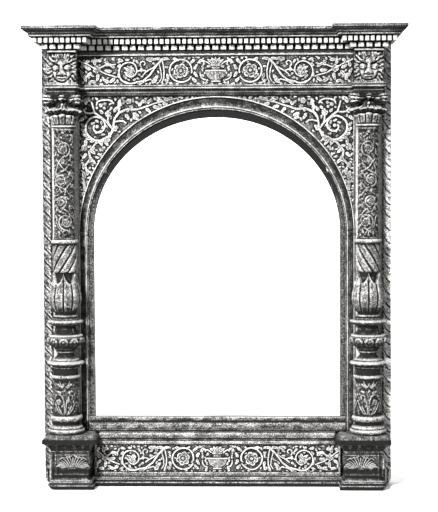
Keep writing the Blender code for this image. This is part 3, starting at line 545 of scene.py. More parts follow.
def build_entablature():
    """The architrave, the two bands of teeth and the cornice."""
    inner, outer, front = block_places()
    low, high = low_high("architrave")
    z0, reach = low[2], high[0] - outer
    # The architrave's tones are painted light on its forward bands and painted shade at its foot and in its
    # sunk groove.
    profile = levels_at(z0, 0.0, (
        (0, 0, -0.9), (1.8, 0, -0.9), (2.2, 1.2, 0.3), (4.6, 1.2, 0.1), (5.0, 0.6, -0.4),
        (6.2, 0.6, -0.4), (6.5, -0.8, -1.2), (8.6, -0.8, -1.2)))
    profile += [(z0 + up * MM, reach * share, tone) for up, share, tone in (
        (9.0, 0.5, 0.2), (11.8, 0.7, 0.1), (12.2, 1.0, 0.6), (14.4, 1.0, 0.3), (14.8, 0.7, -0.1))]
    profile.append((high[2], reach * 0.7, 0.0))
    corners = breaking(outer, inner, front, RUN_DEPTH, low[1], outer - GAP, board_step())
    moulding("architrave_carved", "architrave", corners, profile, MOULDED, 2)
    build_teeth("dentil_lower", 6.0 * MM, 4.5 * MM, 12.2 * MM, 8.0 * MM, 4)
    build_teeth("dentil_upper", 17.5 * MM, 5.5 * MM, 8.4 * MM, 5.3 * MM, 5)
    low, high = low_high("cornice")
    z0, reach = low[2], high[0] - outer
    # The cornice's tones are painted shade at its foot and in its groove, a painted highlight on the fillet
    # that lies in the cyma's shadow, and painted shade that deepens up the cyma.
    profile = levels_at(z0, reach, (
        (0, -10.5, -1.3), (0.3, -10.5, -1.3), (0.6, -8.2, 1.3), (1.9, -8.0, 1.3),
        (2.2, -9.8, -1.3), (3.6, -9.8, -1.3)))
    share = np.linspace(0, 1, 9)[1:]
    lift = (1 - np.cos(np.pi * share)) / 2
    profile += list(zip(z0 + (3.6 + 5.6 * share) * MM, reach - (8.6 - 6.4 * lift) * MM, 0.1 - share))
    profile += levels_at(z0, reach, ((9.8, -0.4, -1.2), (10.6, 0, -0.2)))
    profile += levels_at(high[2], reach, (
        (-3.4, 0, 0.4), (-2.4, 0, 0.3), (-2.0, -0.3, -0.3), (-1.1, -0.3, -0.3), (-0.8, 0, 0.2), (0, 0, 0.2)))
    moulding("cornice_moulded", "cornice", breaking(outer, inner, front, RUN_DEPTH, 0.0), profile, MOULDED, 3)


def build_teeth(node, reach, length, pitch, width, seed):
    """A dentil band: a plain backing and a row of chamfered teeth along its visible sides."""
    inner, outer, front = block_places()
    low, high = low_high(node)
    rear, back = low[1], reach - length
    z0, z1 = low[2], high[2]
    has_lip = rear > 1 * MM
    step_depth = board_step() if has_lip else 0.0
    tooth_low = z0 + (z1 - z0) * (0.12 if has_lip else 0.02)
    # The backing is painted near black, as painted shade behind and between the teeth.
    profile = [(z0, back, -1.3), (z1, back, -1.3)]
    if has_lip:
        profile = [(z0, back * 0.3, -1.2), (z0 + 0.6 * MM, back * 0.3, -1.2)]
        profile += [(z0 + 0.9 * MM, back, -1.3), (z1, back, -1.3)]
    corners = breaking(outer, inner, front, RUN_DEPTH, rear, outer - GAP, step_depth)
    moulding(node + "_backing", node, corners, profile, MOULDED, seed, radius=0.3 * MM)
    ends = [(-(outer + back), max(rear, step_depth)), (-(outer + back), front + back)]
    ends += [(-(inner - back), front + back), (-(inner - back), RUN_DEPTH + back)]
    path = np.array(ends + [(-x, depth) for x, depth in ends[::-1]])
    random = np.random.default_rng(seed)
    points, faces, wear_and_painted_light = [], [], []
    for a, b in zip(path[:-1], path[1:]):
        span = np.linalg.norm(b - a)
        along = (b - a) / span
        out = np.array([-along[1], along[0]])
        on_block = abs(along[0]) > 0.5 and span < 200 * MM
        first = -length + width / 2 if on_block else pitch / 2
        count = max(2, int(round((span - 2 * first) / pitch)) + 1)
        for place in np.linspace(first, span - first, count):
            faces += [[len(points) + i for i in face] for face in TOOTH_FACES]
            middle = a + along * (place + random.normal(0, 0.15 * MM))
            points += tooth(middle, along, out, width + random.normal(0, 0.2 * MM), length, tooth_low,
                            z1 - 0.9 * MM, random)
            wear_and_painted_light += [0.2] * 8 + [0.9] * 16 + [0.2] * 8
    put(node + "_teeth", points, faces, wear_and_painted_light, MOULDED, (), smooth=False)


TOOTH_FACES = lids(4, 8)
TOOTH_FACES += [[r * 8 + i, r * 8 + (i + 1) % 8, r * 8 + 8 + (i + 1) % 8, r * 8 + 8 + i]
                for r in range(3) for i in range(8)]


def tooth(middle, along, out, width, length, low, high, random):
    """The points of one tooth: four rings of eight, with chamfered corners and ends."""
    cut = 0.5 * MM
    half = width / 2
    root, tip = -0.4 * MM, length + random.normal(0, 0.15 * MM)
    ring = [(half, root), (half, tip - cut), (half - cut, tip), (-half + cut, tip)]
    ring += [(-half, tip - cut), (-half, root), (-half + cut, root - 0.1 * MM), (half - cut, root - 0.1 * MM)]
    points = []
    for z, inset in ((low, cut), (low + cut, 0.0), (high - cut, 0.0), (high, cut)):
        for across, forward in ring[::-1]:
            shrink = 1 - inset / half
            place = middle + along * across * shrink + out * (forward if forward < 0 else forward - inset)
            points.append((place[0], BACK - place[1], z))
    return points


# Panels

def rinceau(work, half, unit, height):
    """Half of a band of scrolls, for x above zero, on both sides of an urn.

    Places are millimetres across and shares of unit up; unit is half the band's height.
    """
    def at(x, z):
        """A place across in millimetres and up in units."""
        return np.array([x, z * unit])

    thin = 0.052 * unit
    rose, eye, apex, start = at(51.5, 0.0), at(128.5, -0.02), (80.0, 0.84), 148.0
    room = half - start
    node = (start + room * 0.52, 0.12)
    for places, width, share in (
        ((apex, (78.0, 0.45), (76.5, 0.0), (77.0, -0.5), (80.0, -0.86)), 1.0, 0.9),
        ((apex, (84.0, 0.45), (81.5, 0.0), (80.5, -0.5), (84.0, -0.80)), 0.8, 0.75),
        (((84, 0.62), (93, 0.22), (103, -0.06), (108, -0.28)), 1.0, 0.8),
        (((90, -0.86), (97, -0.62), (104, -0.72), (112, -0.92)), 1.0, 0.8),
        (((start, -0.45), (start + room * 0.3, -0.2), node), 1.0, 0.9),
        ((node, (start + room * 0.8, 0.55), (start + room, 0.78)), 1.0, 1.0),
        (((start + 2, 0.5), (start + room * 0.3, 0.4), node), 1.0, 0.9),
    ):
        work.stem([at(*place) for place in places], thin * width, height * share)
    for x, z, angle, length, turn, width, share in (
        (103, -0.06, 40, 0.75, -80, 1.0, 0.8), (128, -0.45, 120, 0.95, -120, 1.2, 0.95),
        (126, -0.50, 95, 0.75, -110, 1.0, 0.85), (15, -0.66, 5, 0.70, 95, 1.0, 0.8),
        (9, 0.46, 50, 0.95, -85, 1.0, 0.8),
    ):
        work.stem(bend(at(x, z), angle, length * unit, turn), thin * width, height * share)
    work.stem(spiral(rose, 0.84 * unit, 0.80 * unit, -150, 190, 40), thin * 1.15, height * 0.95)
    work.stem(spiral(at(108, 0.52), 0.26 * unit, 0.10 * unit, -60, 240, 16), thin * 0.9, height * 0.8)
    work.stem(spiral(at(22, 0.62), 0.24 * unit, 0.08 * unit, 200, -80, 14), thin * 0.9, height * 0.8)
    sweep = [at(*apex), at(88.0, 0.38), at(98.0, -0.32), at(108.0, -0.72)]
    curl = spiral(eye, 0.95 * unit, 0.36 * unit, -125, 300, 48)
    work.stem(np.concatenate([sweep, curl]), thin * 1.35, height, taper=0.3)
    work.flower(rose, 0.54 * unit, height, 6, 0.3)
    work.flower(at(*node), 0.30 * unit, height, 6, 0.5)
    for angle, length, turn in ((205, 0.40, 30), (150, 0.46, -40), (95, 0.52, 30), (60, 0.46, -50),
                                (-60, 0.42, 40), (-20, 0.40, -30), (255, 0.40, 10)):
        work.leaf(eye + (0.0, -0.05 * unit), angle, length * unit, 0.13 * unit, height * 0.9, turn)
    work.leaf_ring(eye, 0.95 * unit, (-80, -30, 20, 70, 120, 165), 140, 0.36 * unit, 0.10 * unit,
                   height * 0.8, -60)
    work.leaves(at, (
        (80, 0.80, 150, 0.60, 60), (81, 0.80, 25, 0.70, -60), (92, 0.90, -20, 0.50, 60),
        (64, 0.86, 180, 0.50, 40), (72, -0.20, -110, 0.60, 30), (70, -0.86, 20, 0.40, 50),
        (86, -0.30, -60, 0.60, 40), (96, -0.85, 170, 0.50, -40), (30, 0.80, -10, 0.50, -60),
        (28, -0.78, 15, 0.50, 60), (31, 0.05, 95, 0.50, 50), (31, -0.05, -95, 0.50, -50),
        (104, 0.88, 190, 0.50, 40), (110, -0.95, 10, 0.40, 20), (146, 0.86, -150, 0.45, -30),
    ), 0.12 * unit, height * 0.8, unit)
    work.leaves(lambda share, z: at(start + share * room, z), (
        (0.05, 0.20, 60, 0.70, -70), (0.05, -0.50, -60, 0.55, 50), (0.12, 0.00, -10, 0.60, 30),
        (0.55, 0.42, 70, 0.55, 30), (0.68, 0.12, 20, 0.60, 30), (0.66, -0.10, -30, 0.65, -30),
        (0.50, -0.18, -100, 0.60, 40), (0.38, 0.72, 20, 0.60, -40), (0.20, -0.82, 15, 0.55, 30),
        (0.55, -0.85, 30, 0.50, -40), (0.80, -0.75, 60, 0.60, 40), (0.92, 0.20, 95, 0.55, 20),
        (0.93, 0.05, -95, 0.60, -20), (0.70, 0.80, -20, 0.45, -40), (0.30, 0.45, 170, 0.40, 30),
    ), 0.13 * unit, height * 0.85, unit)
    urn(work, unit, height)
    work.fill(420, 77, 0.34 * unit, 0.10 * unit, height * 0.62)


def urn(work, unit, height):
    """A low gadrooned bowl on a foot, with leaves that fan out above its neck."""
    for angle, length in ((90, 0.56), (60, 0.62), (34, 0.72)):
        work.leaf((0.0, 0.42 * unit), angle, length * unit, 0.12 * unit, height * 0.9)
    for z0, x1, z1, width, share in ((0.40, 0.32, 0.40, 0.05, 1.0), (0.24, 0.18, 0.22, 0.12, 0.6),
                                     (0.0, 0.72, 0.0, 0.06, 1.05), (-0.76, 0.28, -0.78, 0.06, 0.9)):
        work.stem([(0.0, z0 * unit), (x1 * unit, z1 * unit)], width * unit, height * share, groove=0)
    for k in range(7):
        lean = k * 0.115 * unit
        path = [(lean * 0.95, -0.10 * unit), (lean * 0.80, -0.42 * unit), (lean * 0.30, -0.66 * unit)]
        work.stem(path, 0.05 * unit, height * (0.9 - 0.07 * k), groove=0)


def scroll_band(x, z, bottom, top, half, spare, seeds):
    """Relief of a band of scrolls between two heights, mirrored about the middle of the frame."""
    px, pz = hand_cut(x, z - (bottom + top) / 2, seeds[0])
    work = Carving(np.abs(px), pz)
    rinceau(work, half / MM, (top - bottom - spare) / 2 / MM, 3.6)
    work.punched(seeds[1])
    return work.height * MM


def build_panels():
    """The frieze with a fillet at its top, and the predella with a fillet at its foot and ends."""
    low, high = low_high("frieze_panel")
    x, z = node_grid(low, high, 640, 76)
    top = high[2] - 3.6 * MM
    relief = scroll_band(x, z, low[2], top, high[0], 0.6 * MM, (11, 3))
    relief = relief * ease(np.minimum(top - z, z - low[2]) / (0.8 * MM))
    fillet = ease((1.8 * MM - (high[2] - z)) / (0.4 * MM))
    panel("frieze_carving", "frieze_panel", x, z, np.maximum(relief, fillet * 2.4 * MM), low[1])
    low, high = low_high("predella_panel")
    x, z = node_grid(low, high, 580, 74)
    bottom, top = low[2] + 7.0 * MM, high[2] - 1.2 * MM
    relief = scroll_band(x, z, bottom, top, high[0] + 4 * MM, 0.0, (21, 4))
    rim = np.maximum(ease((low[2] + 6.0 * MM - z) / (0.5 * MM)),
                     ease((3.0 * MM - (high[0] - np.abs(x))) / (0.7 * MM)))
    plain = (z > high[2] - 1.0 * MM) | (z < bottom)
    relief = np.maximum(relief * (1 - rim) * (1 - plain), rim * 1.8 * MM)
    panel("predella_carving", "predella_panel", x, z, relief, low[1])


def panel(name, node, x, z, relief, rear):
    """A flat panel whose front stands forward of the run by its relief."""
    wear_and_painted_light = crest_and_hollow_tone(relief) + 0.15 * noise(x, z, 3 * MM, 5)
    backed(name, node, x, RUN_DEPTH + relief, z, wear_and_painted_light, rear)


# Spandrels

def arch_sizes():
    """Half width and rise of the archivolt's outer edge, and the height it springs from."""
    low, high = low_high("archivolt")
    return high[0], high[2] - low[2], low[2]


def build_spandrels():
    """Each spandrel is a grid from the arch, its first row, out to the panel's square corner."""
    wide, rise, spring = arch_sizes()
    columns, rows = 326, 86
    corner = 0.60    # share of the columns that end on the outer side, the others end on the top
    for side, node, low, high in pairs("spandrel"):
        near, far = sorted((abs(low[0]), abs(high[0])))
        start = math.asin((low[2] - spring) / (rise + GAP))
        end = math.acos(near / (wide + GAP))
        turn = np.linspace(start, end, columns + 1)[None, :]
        in_x, in_z = (wide + GAP) * np.cos(turn), spring + (rise + GAP) * np.sin(turn)
        share = (turn - start) / (end - start)
        out_x = np.where(share < corner, far, far - (far - near) * (share - corner) / (1 - corner))
        out_z = np.where(share < corner, low[2] + (high[2] - low[2]) * share / corner, high[2])
        t = np.linspace(0, 1, rows + 1)[:, None]
        x, z = in_x + (out_x - in_x) * t, in_z + (out_z - in_z) * t
        work = Carving(*hand_cut(x, z, 31 + side))
        spandrel_scrolls(work, far / MM, high[2] / MM, 3.4)
        work.punched(6)
        relief = work.height * MM * ease(np.minimum(far - x, high[2] - z) / (1.0 * MM))
        fillet = ease((1.6 * MM - (far - x)) / (0.4 * MM)) * ease((low[2] + 150 * MM - z) / (12 * MM))
        relief = np.maximum(relief, fillet * 2.2 * MM)
        wear_and_painted_light = crest_and_hollow_tone(relief) + 0.15 * noise(x, z, 3 * MM, 8)
        front = placed(x, low[1] + 1.4 * MM + relief, z)
        points = np.concatenate([placed(x[:1], low[1], z[:1]), front, placed(x[-1:], low[1], z[-1:])])
        count, wide_row = points.shape[:2]
        faces = grid_faces(count, wide_row, False)
        faces += [[i * wide_row + j for i in range(count)] for j in (0, wide_row - 1)]
        faces.append(list(range(wide_row)) + list(range((count - 1) * wide_row, count * wide_row))[::-1])
        painted_light_and_wear = np.concatenate([wear_and_painted_light[:1], wear_and_painted_light, wear_and_painted_light[-1:]])
        outward(put(node + "_carving", points * (side, 1, 1), faces, painted_light_and_wear, CARVED, (node,)))


def spandrel_scrolls(work, far, top, height):
    """Scrolls, branches and leaves beside the arch, in millimetres from the outer top corner."""
    def at(left, down):
        """A place so far left of the outer top corner and so far below it."""
        return np.array([far - left, top - down])

    eye = at(28.7, 45.0)
    work.stem(spiral(eye, 23.5, 4.5, 191, 740, 60), 1.9, height, taper=0.3)
    work.bead(eye, 3.0, height)
    work.bead(at(52.8, 50.4), 2.6, height)
    for width, taper, places in (
        (1.8, 0.3, ((52.8, 50.4), (42.8, 38.0), (33, 30), (24.6, 23.9), (20.5, 8.2))),
        (1.4, 0.0, ((24.6, 23.9), (17, 25), (11.4, 23.9), (8, 19))),
        (1.8, 0.0, ((52.8, 50.4), (53, 42), (54.4, 33), (61, 23.9), (72.6, 19.8), (87.5, 19.6))),
        (1.4, 0.4, ((87.5, 19.6), (100.8, 15.5), (114, 11.0), (132, 6.5), (148, 3.6))),
        (1.3, 0.0, ((56, 38), (62, 36), (67.7, 36.7), (71.5, 40))),
        (1.3, 0.0, ((27.9, 12.5), (29, 8), (34.5, 5.8), (44.5, 5.0), (50, 7), (52.8, 11))),
        (1.3, 0.0, ((46, 42), (44.5, 36), (44.5, 29))),
        (1.4, 0.0, ((61, 23.9), (60, 16), (64, 9))),
        (1.5, 0.0, ((39, 62), (26, 70), (16, 82), (18, 93), (10, 103), (12, 112), (8, 125), (8, 140))),
    ):
        work.stem([at(*place) for place in places], width, height, taper)
    for angle, length in ((60, 9), (90, 11), (120, 9)):
        work.leaf(at(44.5, 30), angle, length, 2.6, height)
    for left, down, radius in ((34, 13, 3.2), (39, 17, 2.4), (40, 11, 2.6), (76, 7.5, 4.6), (28, 17, 2.0)):
        work.flower(at(left, down), radius, height, 5)
    work.leaf_ring(eye, 19.5, range(205, 358, 19), 40, 9, 2.6, height * 0.95, 40)
    work.leaf_ring(eye, 10, range(20, 271, 50), 120, 7, 1.9, height * 0.8, 40)
    work.leaves(at, (
        (62, 22, 70, 12, 40), (66, 14, 30, 9, 60), (60, 12, 130, 10, -40), (81, 27, 170, 12, 60),
        (82, 29, 230, 11, -40), (70, 27, 215, 11, 40), (76, 24, 60, 7, -60), (90, 14, 150, 9, -50),
        (94, 8, 175, 11, 30), (103, 10, 160, 9, -40), (101, 18, 205, 12, 40), (112, 15, 200, 11, -20),
        (117, 6, 175, 11, 30), (126, 11, 195, 9, -20), (128, 4, 180, 9, 20), (54, 24, 100, 10, 50),
        (36, 26, 80, 8, -50), (12, 12, 70, 11, 40), (10, 8, 150, 9, -60), (18, 7, 60, 7, 30),
        (8, 30, -60, 10, 40), (60, 45, -30, 9, 60), (58, 50, 0, 8, 30), (47, 62, -60, 8, 20),
        (39, 64, -100, 12, -50), (28, 66, 200, 12, 60), (10, 64, -110, 12, 50), (8, 72, -60, 10, -40),
        (24, 74, -60, 11, 40), (16, 80, 190, 12, 50), (12, 84, -70, 11, 40), (20, 90, -80, 12, 50),
        (17, 94, 200, 12, 40), (10, 100, -50, 10, -50), (14, 108, -70, 11, -30), (7, 112, -100, 10, 30),
        (10, 118, -60, 9, -30), (7, 126, -110, 9, 30), (9, 132, -75, 9, -30), (7, 142, -95, 10, 0),
    ), 2.7, height * 0.92)
    work.fill(420, 78, 8.0, 2.2, height * 0.66)


# Strips

def build_strips():
    """Bands of leaves down the outer edges, plain and reeded at the foot, round at the lower corner."""
    for side, node, low, high in pairs("strip"):
        inner, outer = sorted((abs(low[0]), abs(high[0])))
        z = np.linspace(low[2], high[2], 860)[:, None]
        u = np.linspace(0, 1, 18)[None, :]
        drop = np.clip(CORNER - z, 0, CORNER)
        edge = outer - CORNER + np.sqrt(np.clip(CORNER ** 2 - drop ** 2, 0, None))
        x = inner + (np.maximum(edge, inner + 0.5 * MM) - inner) * u
        across = (x - inner) / (outer - inner)
        plain = ease((26 * MM - z) / (5 * MM))
        reeds = 0.9 * MM * (np.cos(2 * np.pi * across * 2.5) > 0.2)
        relief = leaf_band(across, z, side) * (1 - plain) + reeds * plain
        relief = relief + 0.2 * MM * noise(x, z, 2 * MM, 43)
        wear_and_painted_light = above(relief, 3, 0.7 * MM) * 0.8 + 0.35 * noise(x, z, 3 * MM, 44)
        # Painted light: the right strip is painted paler all over to lift the shade it lies in, and the left
        # strip is darker towards its outer edge.
        wear_and_painted_light = wear_and_painted_light + (0.35 if side > 0 else -0.35 * ease(u * 1.6 - 0.3))
        depth = np.clip(low[1] + 3.4 * MM + relief, low[1] + 1 * MM, high[1])
        outward(backed(node + "_carving", node, x * side, depth, z, np.clip(wear_and_painted_light, -1, 1), low[1]))


def leaf_band(across, z, side):
    """Overlapping leaves cut apart by slanting, bent cuts that fall from left to right."""
    u = across if side > 0 else 1 - across
    wander = 0.05 * noise(z, 0 * z + 2, 25 * MM, 41 + side)
    wander = wander + (0.20 * np.sin(np.pi * u) if side > 0 else 0.05 * np.sin(2 * np.pi * u))
    phase = (z / (19 * MM) + 0.85 * u + wander) % 1.0
    lobes = 0.10 + 0.06 * np.cos(2 * np.pi * 3 * phase)
    leaf = ease((across - lobes) / 0.08) * (0.35 + 0.65 * np.sin(np.pi * phase) ** 0.5)
    relief = 1.7 * leaf * (0.80 + 0.20 * np.sin(np.pi * across))
    relief = relief - 2.6 * bell(np.minimum(phase, 1 - phase) / 0.055) * ease((across - 0.06) / 0.1)
    vein = (phase - 0.45) - 0.25 * (u - 0.5)
    relief = relief - 0.5 * bell(vein / 0.035) * ease((across - 0.3) / 0.2)
    return (relief - 1.2 * hump(phase, across, 0.30, 0.30, 0.05, 0.10)) * MM


# Masks

def hump(u, v, cu, cv, wu, wv):
    """A smooth bump: one at its middle, falling off with distance as shares of its widths."""
    return bell(np.hypot((u - cu) / wu, (v - cv) / wv))


def crease(u, v, start, end, width):
    """A smooth ridge along a straight line: one on the line, falling off with distance."""
    du, dv = end[0] - start[0], end[1] - start[1]
    t = np.clip(((u - start[0]) * du + (v - start[1]) * dv) / (du * du + dv * dv), 0, 1)
    return bell(np.hypot(u - start[0] - du * t, v - start[1] - dv * t) / width)


def lion(u, v):
    """Height of a lion's face and mane for u across and v up, both from -1 to 1.

    Two rings of mane, an egg of a face, then humps and creases for nose, eyes, brows, cheeks and mouth.
    """
    far, turn = np.hypot(u, v + 0.04), np.arctan2(v + 0.04, u) / (2 * np.pi)
    outer = 1 - np.abs(2 * ((27 * turn + 0.9 * far) % 1.0) - 1)
    inner = 1 - np.abs(2 * ((21 * turn - 0.9 * far) % 1.0) - 1)
    shape = (0.02 + 0.40 * outer ** 0.8) * ease((1.02 + 0.22 * outer - far) / 0.10)
    shape = np.maximum(shape, (0.06 + 0.48 * inner ** 0.8) * ease((0.86 + 0.14 * inner - far) / 0.06))
    shape = shape + (0.34 - shape) * ease((-0.80 - v) / 0.06)
    egg = (u / 0.64) ** 2 + ((v + 0.08) / 0.70) ** 2
    shape = np.where(egg < 1, 0.24 + 0.30 * np.sqrt(np.clip(1 - egg, 0, 1)), shape)
    shape = shape - 0.42 * bell((egg - 1.12) / 0.13) * ease((-0.18 - v) / 0.25)
    shape = shape + 0.14 * crease(u, v, (0, 0.30), (0, -0.14), 0.13)
    shape = shape - 0.16 * crease(u, v, (0, 0.86), (0, 0.58), 0.04)
    shape = shape + 0.20 * hump(u, v, 0, 0.34, 0.26, 0.12) + 0.22 * hump(u, v, 0, -0.22, 0.16, 0.10)
    for s in (1, -1):
        ball = np.hypot((u - 0.40 * s) / 0.21, (v - 0.03) / 0.17)
        shape = shape - 0.20 * bell((ball - 1.20) / 0.26) + 0.30 * bell(ball / 0.80)
        lobe = np.hypot((u - 0.50 * s) / 0.22, (v - 0.58) / 0.20)
        shape = shape + 0.24 * bell((lobe - 0.90) / 0.30) - 0.14 * bell(lobe / 0.40)
        shape = shape + 0.16 * hump(u, v, 0.16 * s, -0.30, 0.09, 0.07)
        shape = shape + 0.26 * hump(u, v, 0.44 * s, -0.34, 0.15, 0.18)
        for amount, u0, v0, u1, v1, width in (
            (-0.16, 0.26, 0.02, 0.54, 0.00, 0.030), (-0.40, 0.14, 0.12, 0.36, 0.22, 0.050),
            (-0.34, 0.36, 0.22, 0.62, 0.34, 0.045), (-0.18, 0.18, -0.14, 0.30, -0.32, 0.035),
            (-0.42, 0.0, -0.46, 0.30, -0.44, 0.042), (0.22, 0.0, -0.54, 0.24, -0.51, 0.050),
            (-0.30, 0.0, -0.63, 0.20, -0.61, 0.030),
        ):
            shape = shape + amount * crease(u, v, (u0 * s, v0), (u1 * s, v1), width)
    return shape


def build_masks():
    """The blocks over the capitals: a lion's mask under a fillet."""
    front = 56 * MM
    for side, node, low, high in pairs("mask_block"):
        x, z = node_grid(low, high, 84, 92)
        u = 2 * (x - low[0]) / (high[0] - low[0]) - 1
        v = 2 * (z - low[2]) / (high[2] - low[2]) - 1
        shift_u, shift_v = 0.05 * noise(u, v, 0.4, 51 + side), 0.05 * noise(u, v, 0.4, 53 + side)
        shape = np.clip(lion(u + shift_u, v + shift_v + 0.05), 0.02, 1.05)
        shadow = ease((0.04 - np.abs(v - 0.83)) / 0.02)
        shape = np.maximum(shape * (1 - shadow), 0.85 * ease((v - 0.88) / 0.02))
        rim = np.minimum(1 - np.abs(u), 1 - np.abs(v))
        relief = shape * ease(rim / 0.04) + 0.10 * ease((0.05 - rim) / 0.03)
        relief = relief * (high[1] - front) * 0.95
        # The mask's raised features are painted paler and its sunk parts darker: painted highlights and
        # painted shade over the crests' and hollows' tone.
        wear_and_painted_light = crest_and_hollow_tone(relief * 0.5) + 0.75 * (shape - 0.38) + 0.4 * noise(x, z, 2 * MM, 55)
        backed(node + "_carving", node, x, front + relief, z, wear_and_painted_light, low[1])


# Base and plinths

def die_places():
    """Inner and outer side of the plinth's die, from the predella's end and the block above."""
    return low_high("predella_panel")[1][0] + 2.6 * MM, low_high("mask_block_right")[1][0]


def build_base():
    """The base moulding, which breaks forward under both plinths, and the plinths."""
    low, high = low_high("base_moulding")
    die_in, die_out = die_places()
    block_front, run_front = 65 * MM, 37 * MM
    corners = breaking(die_out, die_in, block_front, run_front, low[1], die_out - GAP, board_step())
    tall = high[2]
    # The tones are painted shade on the bottom band, in the groove and at the top, and painted highlights on
    # the fillet and the hollow.
    profile = levels_at(0.0, 0.0, (
        (0, 4.6, -0.9), (1.0, 5.0, -0.9), (5.4, 5.0, -0.9), (5.8, 5.0, 0.6), (7.3, 4.8, 0.6),
        (7.7, 3.0, -1.3), (9.9, 2.2, -1.3), (10.3, 2.2, 0.2)))
    profile += hollow(10.3 * MM, 2.2 * MM, tall - 1.8 * MM, 1.6 * MM, 0.4 * MM, 0.3)
    profile += levels_at(tall, 0.0, ((-1.7, 1.6, -0.2), (-1.2, 0.8, -0.4), (0, 0.6, -0.5)))
    piece = moulding("base_moulded", "base_moulding", corners, profile, MOULDED, 6)
    round_corners(piece, die_out + 5.0 * MM)
    for side, node, low, high in pairs("plinth"):
        build_plinth(side, node, low, high)


def round_corners(piece, outer):
    """Rounds the frame's lower corners by moving points in from the sides."""
    count = len(piece.data.vertices)
    places = np.empty(count * 3)
    piece.data.vertices.foreach_get("co", places)
    places = places.reshape(count, 3)
    drop = np.clip(CORNER - places[:, 2], 0, CORNER)
    limit = outer - CORNER + np.sqrt(CORNER ** 2 - drop ** 2)
    places[:, 0] = np.clip(places[:, 0], -limit, limit)
    piece.data.vertices.foreach_set("co", places.ravel())
    piece.data.update()


def plinth_profile(z0, foot, cap, z1):
    """Foot, undercut, cushion, fillet, hollow and cap, one above the other."""
    die = cap - foot

    def die_levels(rows):
        """Profile points at shares of the die's height."""
        return [(foot + die * share, out * MM, tone) for share, out, tone in rows]

    # The tones are painted highlights on the foot and the fillet, and painted shade in the undercut, on the
    # die's foot, under the fillet and in the hollow.
    profile = levels_at(z0, 0.0, ((0, -3.4, 0.5), (1.6, -3.4, 0.4), (2.0, -4.0, -0.8)))
    profile += levels_at(foot, 0.0, (
        (-5.8, -2.4, -0.4), (-4.6, -2.4, -0.3), (-3.0, -4.0, -0.6), (1.0, -4.6, -0.9)))
    profile += die_levels([(0.11, -4.4, -1.0)])
    for share in np.linspace(0, 1, 31):
        bulge = -2.6 + 2.8 * math.sin(math.pi * min(1.0, 0.12 + share * 0.9)) ** 0.6
        profile += die_levels([(0.13 + 0.48 * share, bulge, 0.0)])
    profile += die_levels((
        (0.625, -2.6, -0.9), (0.66, -2.6, -0.7), (0.67, -0.6, 0.5), (0.71, -0.6, 0.3), (0.72, -1.6, -0.7)))
    for share in np.linspace(0, 1, 9)[1:]:
        swell = -1.6 + 9.6 * (1 - math.cos(math.pi / 2 * share))
        profile += die_levels([(0.72 + 0.28 * share, swell, -0.7)])
    profile += levels_at(cap, 0.0, ((0.2, 9.6, -0.3), (1.0, 10.4, -0.1), (6.6, 10.4, -0.2), (7.6, 9.4, 0.1)))
    return profile + [(z1, 4.0 * MM, -0.1)]


def build_plinth(side, node, low, high):
    """A plinth: its profile run round its plan, with carving added to the front."""
    die_in, die_out = die_places()
    die_front, root, step_depth = 70 * MM, 4.3 * MM, board_step()
    z0, z1 = low[2], high[2]
    foot, cap = z0 + 11.4 * MM, z1 - 12.3 * MM
    die = cap - foot
    levels, painted_light_and_wear = rounded(plinth_profile(z0, foot, cap, z1), 0.5 * MM)
    front = [(die_in + (die_out - die_in) * k / 90, die_front, -1 + 2 * k / 90, 1) for k in range(91)]
    corners = [(die_in + root, low[1], 0, 0), (die_in + root, step_depth, 0, 0), (die_in, step_depth, -1, 0)]
    corners += front + [(die_out, step_depth, 1, 0), (die_out - root, step_depth, 0, 0)]
    plan = plan_outline(corners + [(die_out - root, low[1], 0, 0)], 9 * MM)
    z, out = levels[:, 0][:, None], levels[:, 1][:, None]
    across = np.where((z > foot) & (z < cap), np.maximum(out, -2.6 * MM), out)
    x = plan[:, 0] + across * plan[:, 2]
    depth = plan[:, 1] + out * plan[:, 3]
    is_front = plan[:, 1] > die_front - 0.1 * MM
    shake = noise(x, z, 8 * MM, 61) * 0.2 * MM * (plan[:, 3] > 0.5)
    middle = (die_in + die_out) / 2 - 4.5 * MM
    half = (die_out - die_in) / 2 - 5.5 * MM
    work = Carving(x - middle, z - foot - die * 0.13)
    acanthus(work, half / MM, die * 0.48 / MM, 3.4)
    sides = ease((half + 1.0 * MM - np.abs(x - middle)) / (1.0 * MM))
    inside = is_front & (z > foot + die * 0.13) & (z < foot + die * 0.62)
    relief = np.where(inside, work.height * MM * sides, 0)
    reeds = np.cos((x - die_out) / (1.5 * MM)) * 0.8 * MM * (x > middle + half + 1.0 * MM)
    relief = relief + reeds * is_front * (z < foot + die * 0.72)
    flutes = 0.7 * MM * np.cos(x / (2.1 * MM)) * is_front * (z > foot + die * 0.74) * (z < cap - 1 * MM)
    depth = np.minimum(depth + relief + shake + flutes, high[1])
    wear_and_painted_light = painted_light_and_wear[:, None] + crest_and_hollow_tone(relief + flutes) * 0.9 + 0.3 * noise(x, z, 4 * MM, 63)
    x = np.clip(x * side, low[0], high[0])
    outward(rings(node + "_carving", placed(x, depth, z), np.clip(wear_and_painted_light, -1, 1), PLINTH_SHADED, node))


def acanthus(work, half, tall, height):
    """Two fans of feathery strokes that spring from the middle of the die and sweep out to its sides."""
    thin = 0.95
    for s in (1, -1):
        for k in range(8):
            root = np.array((s * half * (0.05 + 0.088 * k), tall * (0.20 - 0.014 * k)))
            length = tall * (0.80 - 0.045 * k)
            work.stem(bend(root, 90 - s * (3 + 5 * k), length, -s * (26 + 9 * k)), thin, height, 0.45, 0.0)
        for k in range(3):
            root = np.array((s * half * (0.10 + 0.24 * k), tall * (0.93 - 0.05 * k)))
            work.stem(bend(root, 90 - s * 100, tall * 0.34, -s * 40), thin * 0.8, height * 0.8, 0.4, 0.0)
    work.leaf((0.0, 0.28 * tall), 90, 0.62 * tall, 1.5, height)


